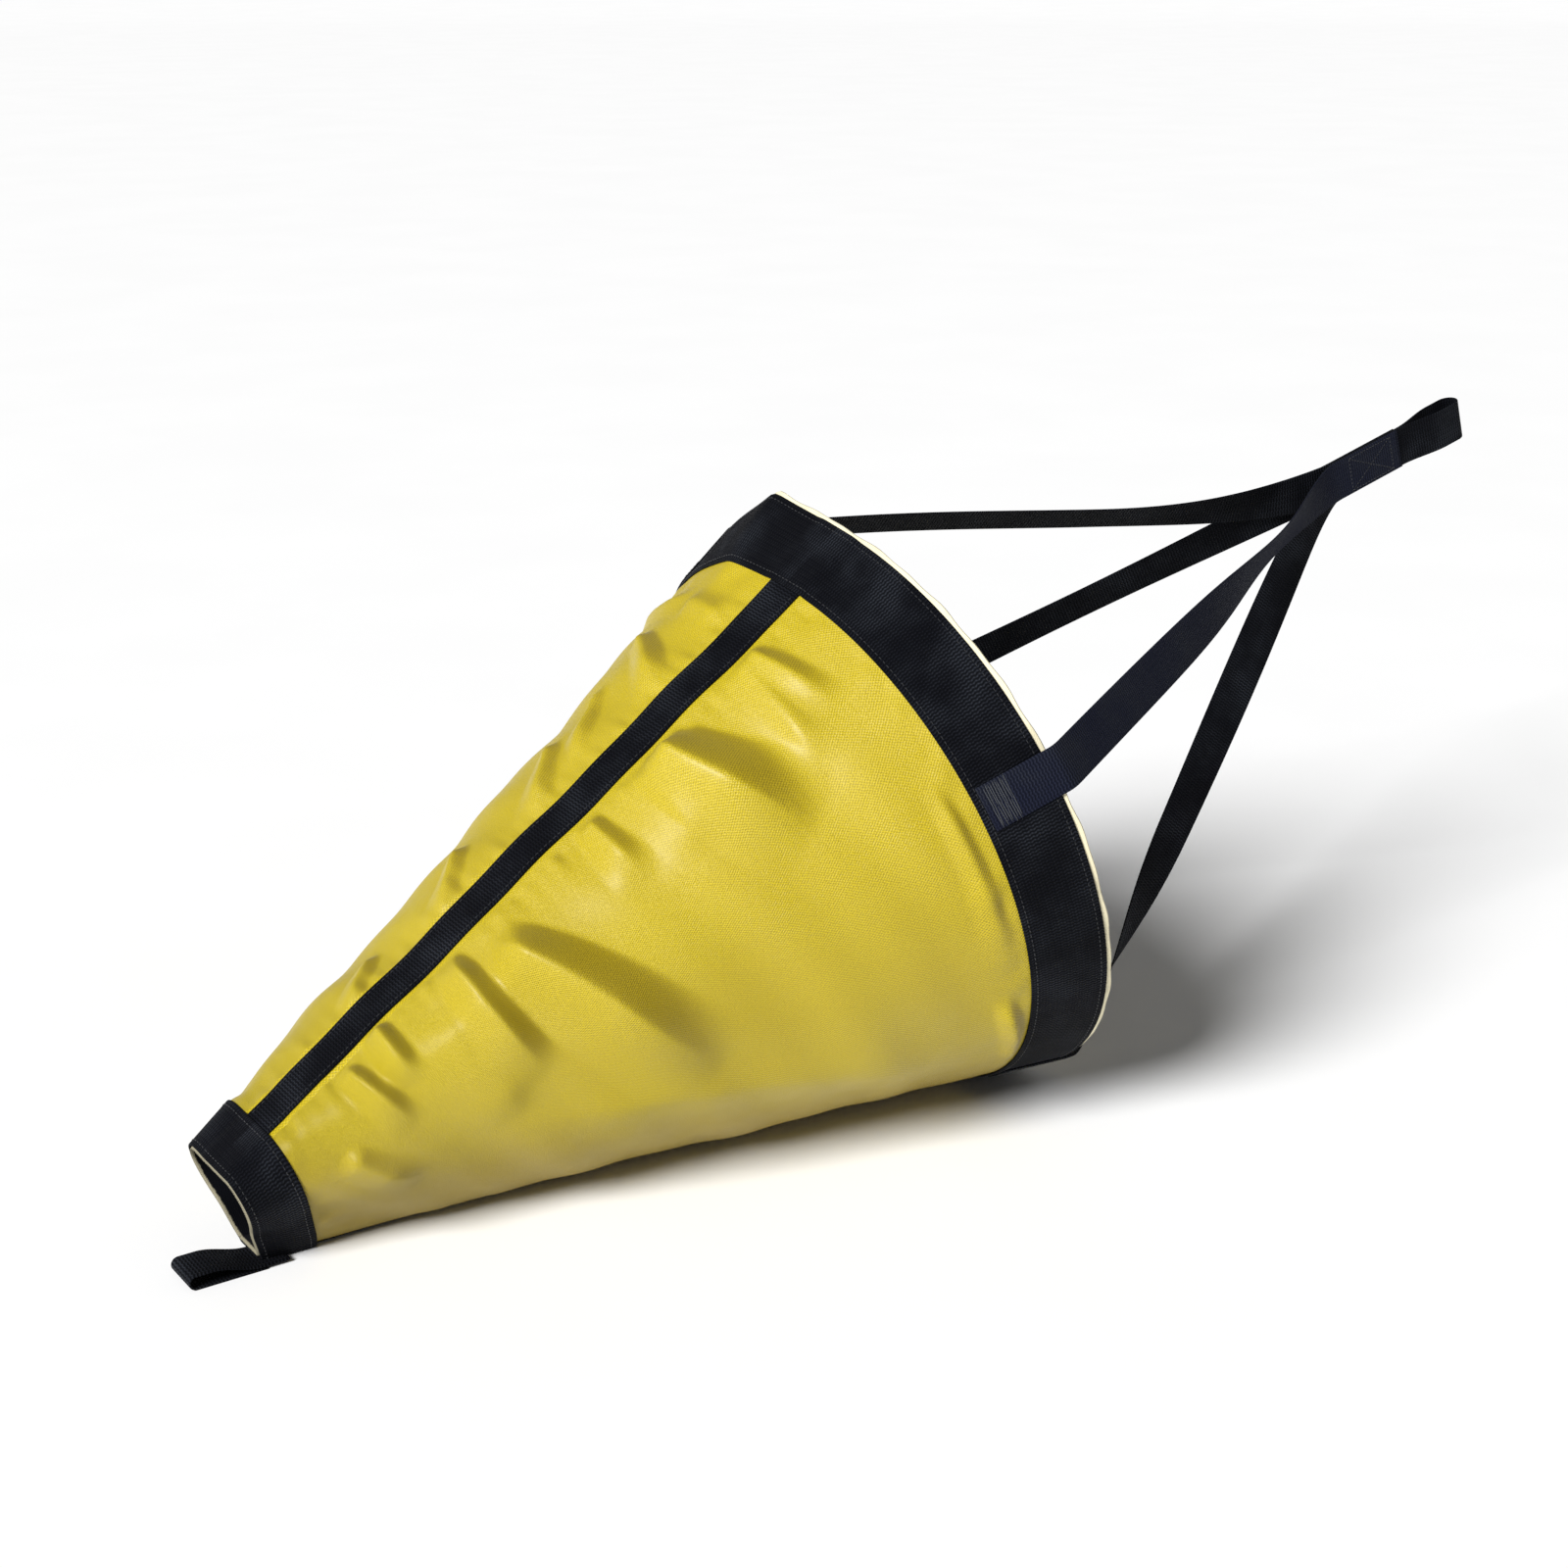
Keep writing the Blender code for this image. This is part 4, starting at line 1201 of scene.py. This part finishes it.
def build_stitches(scene):
    """Rows of stitches along the ribs and round the bands."""
    settings = scene.sock_stitches
    depth = scene.sock_fabric.fold_depth
    length = settings.pitch * 0.72
    rows = []
    for middle in (TOP, BOTTOM):
        stations = np.linspace(MOUTH_BAND + 0.003, SOCK_LENGTH - TAIL_BAND - 0.002, 220)
        centre, width, outwards = rib_line(middle, stations, depth)
        top = centre + outwards * (FABRIC_THICK / 2 + RIB_AIR + WEBBING_THICK)
        for way in (-1, 1):
            line = top + width * way * SEAM_PLACE
            rows.append(stitch_places(line, outwards, settings.pitch))
    obj = stitch_mesh("rib_stitches", rows, length, settings.radius)
    dress(obj, thread(), "sock", (
        "rib_top_seam_near", "rib_top_seam_far", "rib_bottom_seam_near", "rib_bottom_seam_far"))

    rows = []
    order = np.roll(np.arange(COLUMNS), -BOTTOM)
    for station in (0.0042, 0.0478, SOCK_LENGTH - TAIL_BAND + 0.004, SOCK_LENGTH - 0.004):
        points, normals = surface(np.array([station - 0.001, station, station + 0.001]), 0.0)
        rise = band_rise(points[1]) + BAND_THICK / 2
        line = points[1] + normals[1] * rise[:, None]
        clear = order[line[order, 2] > FLOOR_CLEAR]
        rows.append(stitch_places(line[clear], normals[1][clear], settings.pitch))
    obj = stitch_mesh("band_stitches", rows, length, settings.radius)
    dress(obj, thread(), "sock")


def tack_places(origin, along, across, outwards, seed):
    """Dense thread across a strap: rows of long stitches that overlap, with uneven ends."""
    random = np.random.default_rng(seed)
    rows = int(TACK_LENGTH / TACK_SPACING)
    i, j = np.meshgrid(np.arange(rows), np.arange(TACK_PIECES), indexing="ij")
    i = i.ravel()
    j = j.ravel()
    every_other = np.where(i % 2 == 0, 1, -1)
    x = (i + 0.5) * TACK_LENGTH / rows + random.normal(0, TACK_SPACING * 0.10, len(i))
    reach = TACK_WIDTH / TACK_PIECES
    y = (j + 0.5) * reach - TACK_WIDTH / 2 + random.normal(0, 0.0006, len(i))
    y = y * 0.94 + 0.0008 * every_other
    slope = 0.02 * every_other + random.normal(0, 0.02, len(i))
    centres = origin + x[:, None] * along + y[:, None] * across
    ways = unit(across[None] + slope[:, None] * along[None])
    return centres, ways, np.repeat(outwards[None], len(i), axis=0)


def build_tacks(scene):
    """The bar tacks on the legs and the block of stitching on each face of the neck."""
    settings = scene.sock_stitches
    for seed, name in enumerate(LEG_ANGLES):
        centre, width, face, _ = leg_line(name)
        along = unit(centre[4] - centre[0])
        origin = centre[0] + face[2] * (WEBBING_THICK / 2 - THREAD_SINK) + along * TACK_INSET
        centres, ways, normals = tack_places(origin, along, width[2], face[2], seed)
        drop = ((centres - origin) @ width[2]) ** 2 / (2 * MOUTH_HALF_WIDTH)
        centres = centres - face[2] * drop[:, None]
        reach = TACK_WIDTH / TACK_PIECES * TACK_OVERLAP
        obj = stitch_mesh(f"tack_threads_{name}", [(centres, ways, normals)], reach,
                          settings.radius)
        dress(obj, tack_thread(), "sock", (f"leg_tack_{name}",))

    start = NECK_ENTRY + NECK_DIRECTION * (NECK_LENGTH - NECK_TACK_LENGTH) / 2
    lift = 1.5 * LEG_PITCH + WEBBING_THICK / 2 - THREAD_SINK
    outlines = (
        [(0, -1), (1, -1), (1, 1), (0, 1), (0, -1), (1, 1)],
        [(0, 1), (1, -1)],
    )
    for name, face in (("near", -1), ("far", 1)):
        rows = []
        for outline in np.array(outlines[0], float), np.array(outlines[1], float):
            line = start + NECK_FACE * lift * face
            line = line + np.outer(outline[:, 0] * NECK_TACK_LENGTH, NECK_DIRECTION)
            line = line + np.outer(outline[:, 1] * TACK_WIDTH / 2, NECK_WIDTH)
            normals = np.repeat((NECK_FACE * face)[None], len(line), axis=0)
            rows.append(stitch_places(line, normals, settings.pitch * 0.8))
        obj = stitch_mesh(f"neck_stitches_{name}", rows, settings.pitch * 0.62,
                          settings.radius)
        dress(obj, thread(), "sock", (f"neck_tack_{name}",))


def build_stage(scene):
    """The floor, one wide soft key light from the tail's side, even fill, and the camera."""
    settings = scene.sock_stage
    rings = np.linspace(0, 1, settings.floor_steps) ** 2 * FLOOR_REACH + 0.0001
    turn = np.linspace(0, 2 * pi, FLOOR_SPOKES, endpoint=False)
    rise = FLOOR_SLOPE * np.clip(rings - FLOOR_LEVEL, 0, None) - FLOOR_DROP
    points = np.stack([
        rings[:, None] * np.cos(turn),
        rings[:, None] * np.sin(turn),
        np.repeat(rise[:, None], FLOOR_SPOKES, axis=1),
    ], -1)
    v = np.arange(FLOOR_SPOKES + 1) / (FLOOR_SPOKES + 1)
    floor = grid_mesh("studio_floor", points, rings, v, wrap_columns=True)
    floor.data.materials.append(floor_material(settings))

    world = bpy.data.worlds.new("Even light")
    world.use_nodes = True
    background = world.node_tree.nodes["Background"]
    background.inputs["Color"].default_value = (1, 1, 1, 1)
    background.inputs["Strength"].default_value = settings.fill
    scene.world = world

    light = bpy.data.lights.new("Key", "SUN")
    light.energy = settings.key
    light.angle = settings.key_angle
    key = bpy.data.objects.new("Key", light)
    towards = Vector(KEY_DIRECTION).normalized()
    key.rotation_euler = towards.to_track_quat("Z", "Y").to_euler()
    key.location = towards * 3
    scene.collection.objects.link(key)

    azimuth = radians(CAMERA_AZIMUTH)
    elevation = radians(CAMERA_ELEVATION)
    target = Vector((MOUTH_X, 0, CAMERA_AIM))
    forward = Vector((
        -np.sin(azimuth) * np.cos(elevation),
        np.cos(azimuth) * np.cos(elevation),
        -np.sin(elevation),
    ))
    camera_data = bpy.data.cameras.new("Camera")
    camera_data.lens = settings.lens
    camera_data.sensor_width = 36.0
    camera_data.shift_x, camera_data.shift_y = CAMERA_SHIFT
    camera_data.clip_end = 200
    camera = bpy.data.objects.new("Camera", camera_data)
    camera.matrix_world = Matrix.Translation(target - forward * CAMERA_DISTANCE) @ (
        (-forward).to_track_quat("Z", "Y").to_matrix().to_4x4())
    scene.collection.objects.link(camera)
    scene.camera = camera
    scene.view_settings.view_transform = "Standard"


# ---- operators -------------------------------------------------------------------------------
class SOCK_OT_fabric(bpy.types.Operator):
    """Build the two folded fabric panels"""

    bl_idname = "sock.fabric"
    bl_label = "Fabric panels"

    def execute(self, context):
        build_fabric(context.scene)
        return {"FINISHED"}


class SOCK_OT_hems(bpy.types.Operator):
    """Build the pale hems at the mouth and the tail"""

    bl_idname = "sock.hems"
    bl_label = "Hems"

    def execute(self, context):
        build_hems(context.scene)
        return {"FINISHED"}


class SOCK_OT_bands(bpy.types.Operator):
    """Build the webbing bands round the mouth and the tail"""

    bl_idname = "sock.bands"
    bl_label = "Bands"

    def execute(self, context):
        build_bands()
        return {"FINISHED"}


class SOCK_OT_ribs(bpy.types.Operator):
    """Build the two webbing ribs"""

    bl_idname = "sock.ribs"
    bl_label = "Ribs"

    def execute(self, context):
        build_ribs(context.scene)
        return {"FINISHED"}


class SOCK_OT_legs(bpy.types.Operator):
    """Build the four bridle legs"""

    bl_idname = "sock.legs"
    bl_label = "Bridle legs"

    def execute(self, context):
        build_legs()
        return {"FINISHED"}


class SOCK_OT_loops(bpy.types.Operator):
    """Build the tow loop and the tail loop"""

    bl_idname = "sock.loops"
    bl_label = "Loops"

    def execute(self, context):
        build_tow_loop()
        build_tail_loop()
        return {"FINISHED"}


class SOCK_OT_stitches(bpy.types.Operator):
    """Build the rows of stitches and the bar tacks"""

    bl_idname = "sock.stitches"
    bl_label = "Stitching"

    def execute(self, context):
        build_stitches(context.scene)
        build_tacks(context.scene)
        return {"FINISHED"}


class SOCK_OT_stage(bpy.types.Operator):
    """Build the floor, the lights and the camera"""

    bl_idname = "sock.stage"
    bl_label = "Stage"

    def execute(self, context):
        build_stage(context.scene)
        return {"FINISHED"}


class SOCK_PT_panel(bpy.types.Panel):
    """Lists the sock's settings and operators"""

    bl_idname = "SOCK_PT_panel"
    bl_label = "Drift Sock"
    bl_space_type = "VIEW_3D"
    bl_region_type = "UI"
    bl_category = "Drift Sock"

    def draw(self, context):
        for settings in (context.scene.sock_fabric, context.scene.sock_webbing,
                         context.scene.sock_stitches, context.scene.sock_stage):
            box = self.layout.box()
            for key in settings.bl_rna.properties.keys():
                if key not in ("rna_type", "name"):
                    box.prop(settings, key)
        for operator in OPERATORS:
            self.layout.operator(operator.bl_idname)


SETTINGS = {
    "sock_fabric": SockFabricSettings,
    "sock_webbing": SockWebbingSettings,
    "sock_stitches": SockStitchSettings,
    "sock_stage": SockStageSettings,
}
OPERATORS = (
    SOCK_OT_fabric, SOCK_OT_hems, SOCK_OT_bands, SOCK_OT_ribs, SOCK_OT_legs, SOCK_OT_loops,
    SOCK_OT_stitches, SOCK_OT_stage,
)


def register():
    for name, settings in SETTINGS.items():
        bpy.utils.register_class(settings)
        setattr(bpy.types.Scene, name, PointerProperty(type=settings))
    for operator in OPERATORS:
        bpy.utils.register_class(operator)
    bpy.utils.register_class(SOCK_PT_panel)


def unregister():
    bpy.utils.unregister_class(SOCK_PT_panel)
    for operator in reversed(OPERATORS):
        bpy.utils.unregister_class(operator)
    for name, settings in SETTINGS.items():
        delattr(bpy.types.Scene, name)
        bpy.utils.unregister_class(settings)


def main():
    register()
    woven_group()
    pebble_group()
    bpy.ops.sock.fabric()
    bpy.ops.sock.hems()
    bpy.ops.sock.bands()
    bpy.ops.sock.ribs()
    bpy.ops.sock.legs()
    bpy.ops.sock.loops()
    bpy.ops.sock.stitches()
    bpy.ops.sock.stage()


if __name__ == "__main__":
    main()
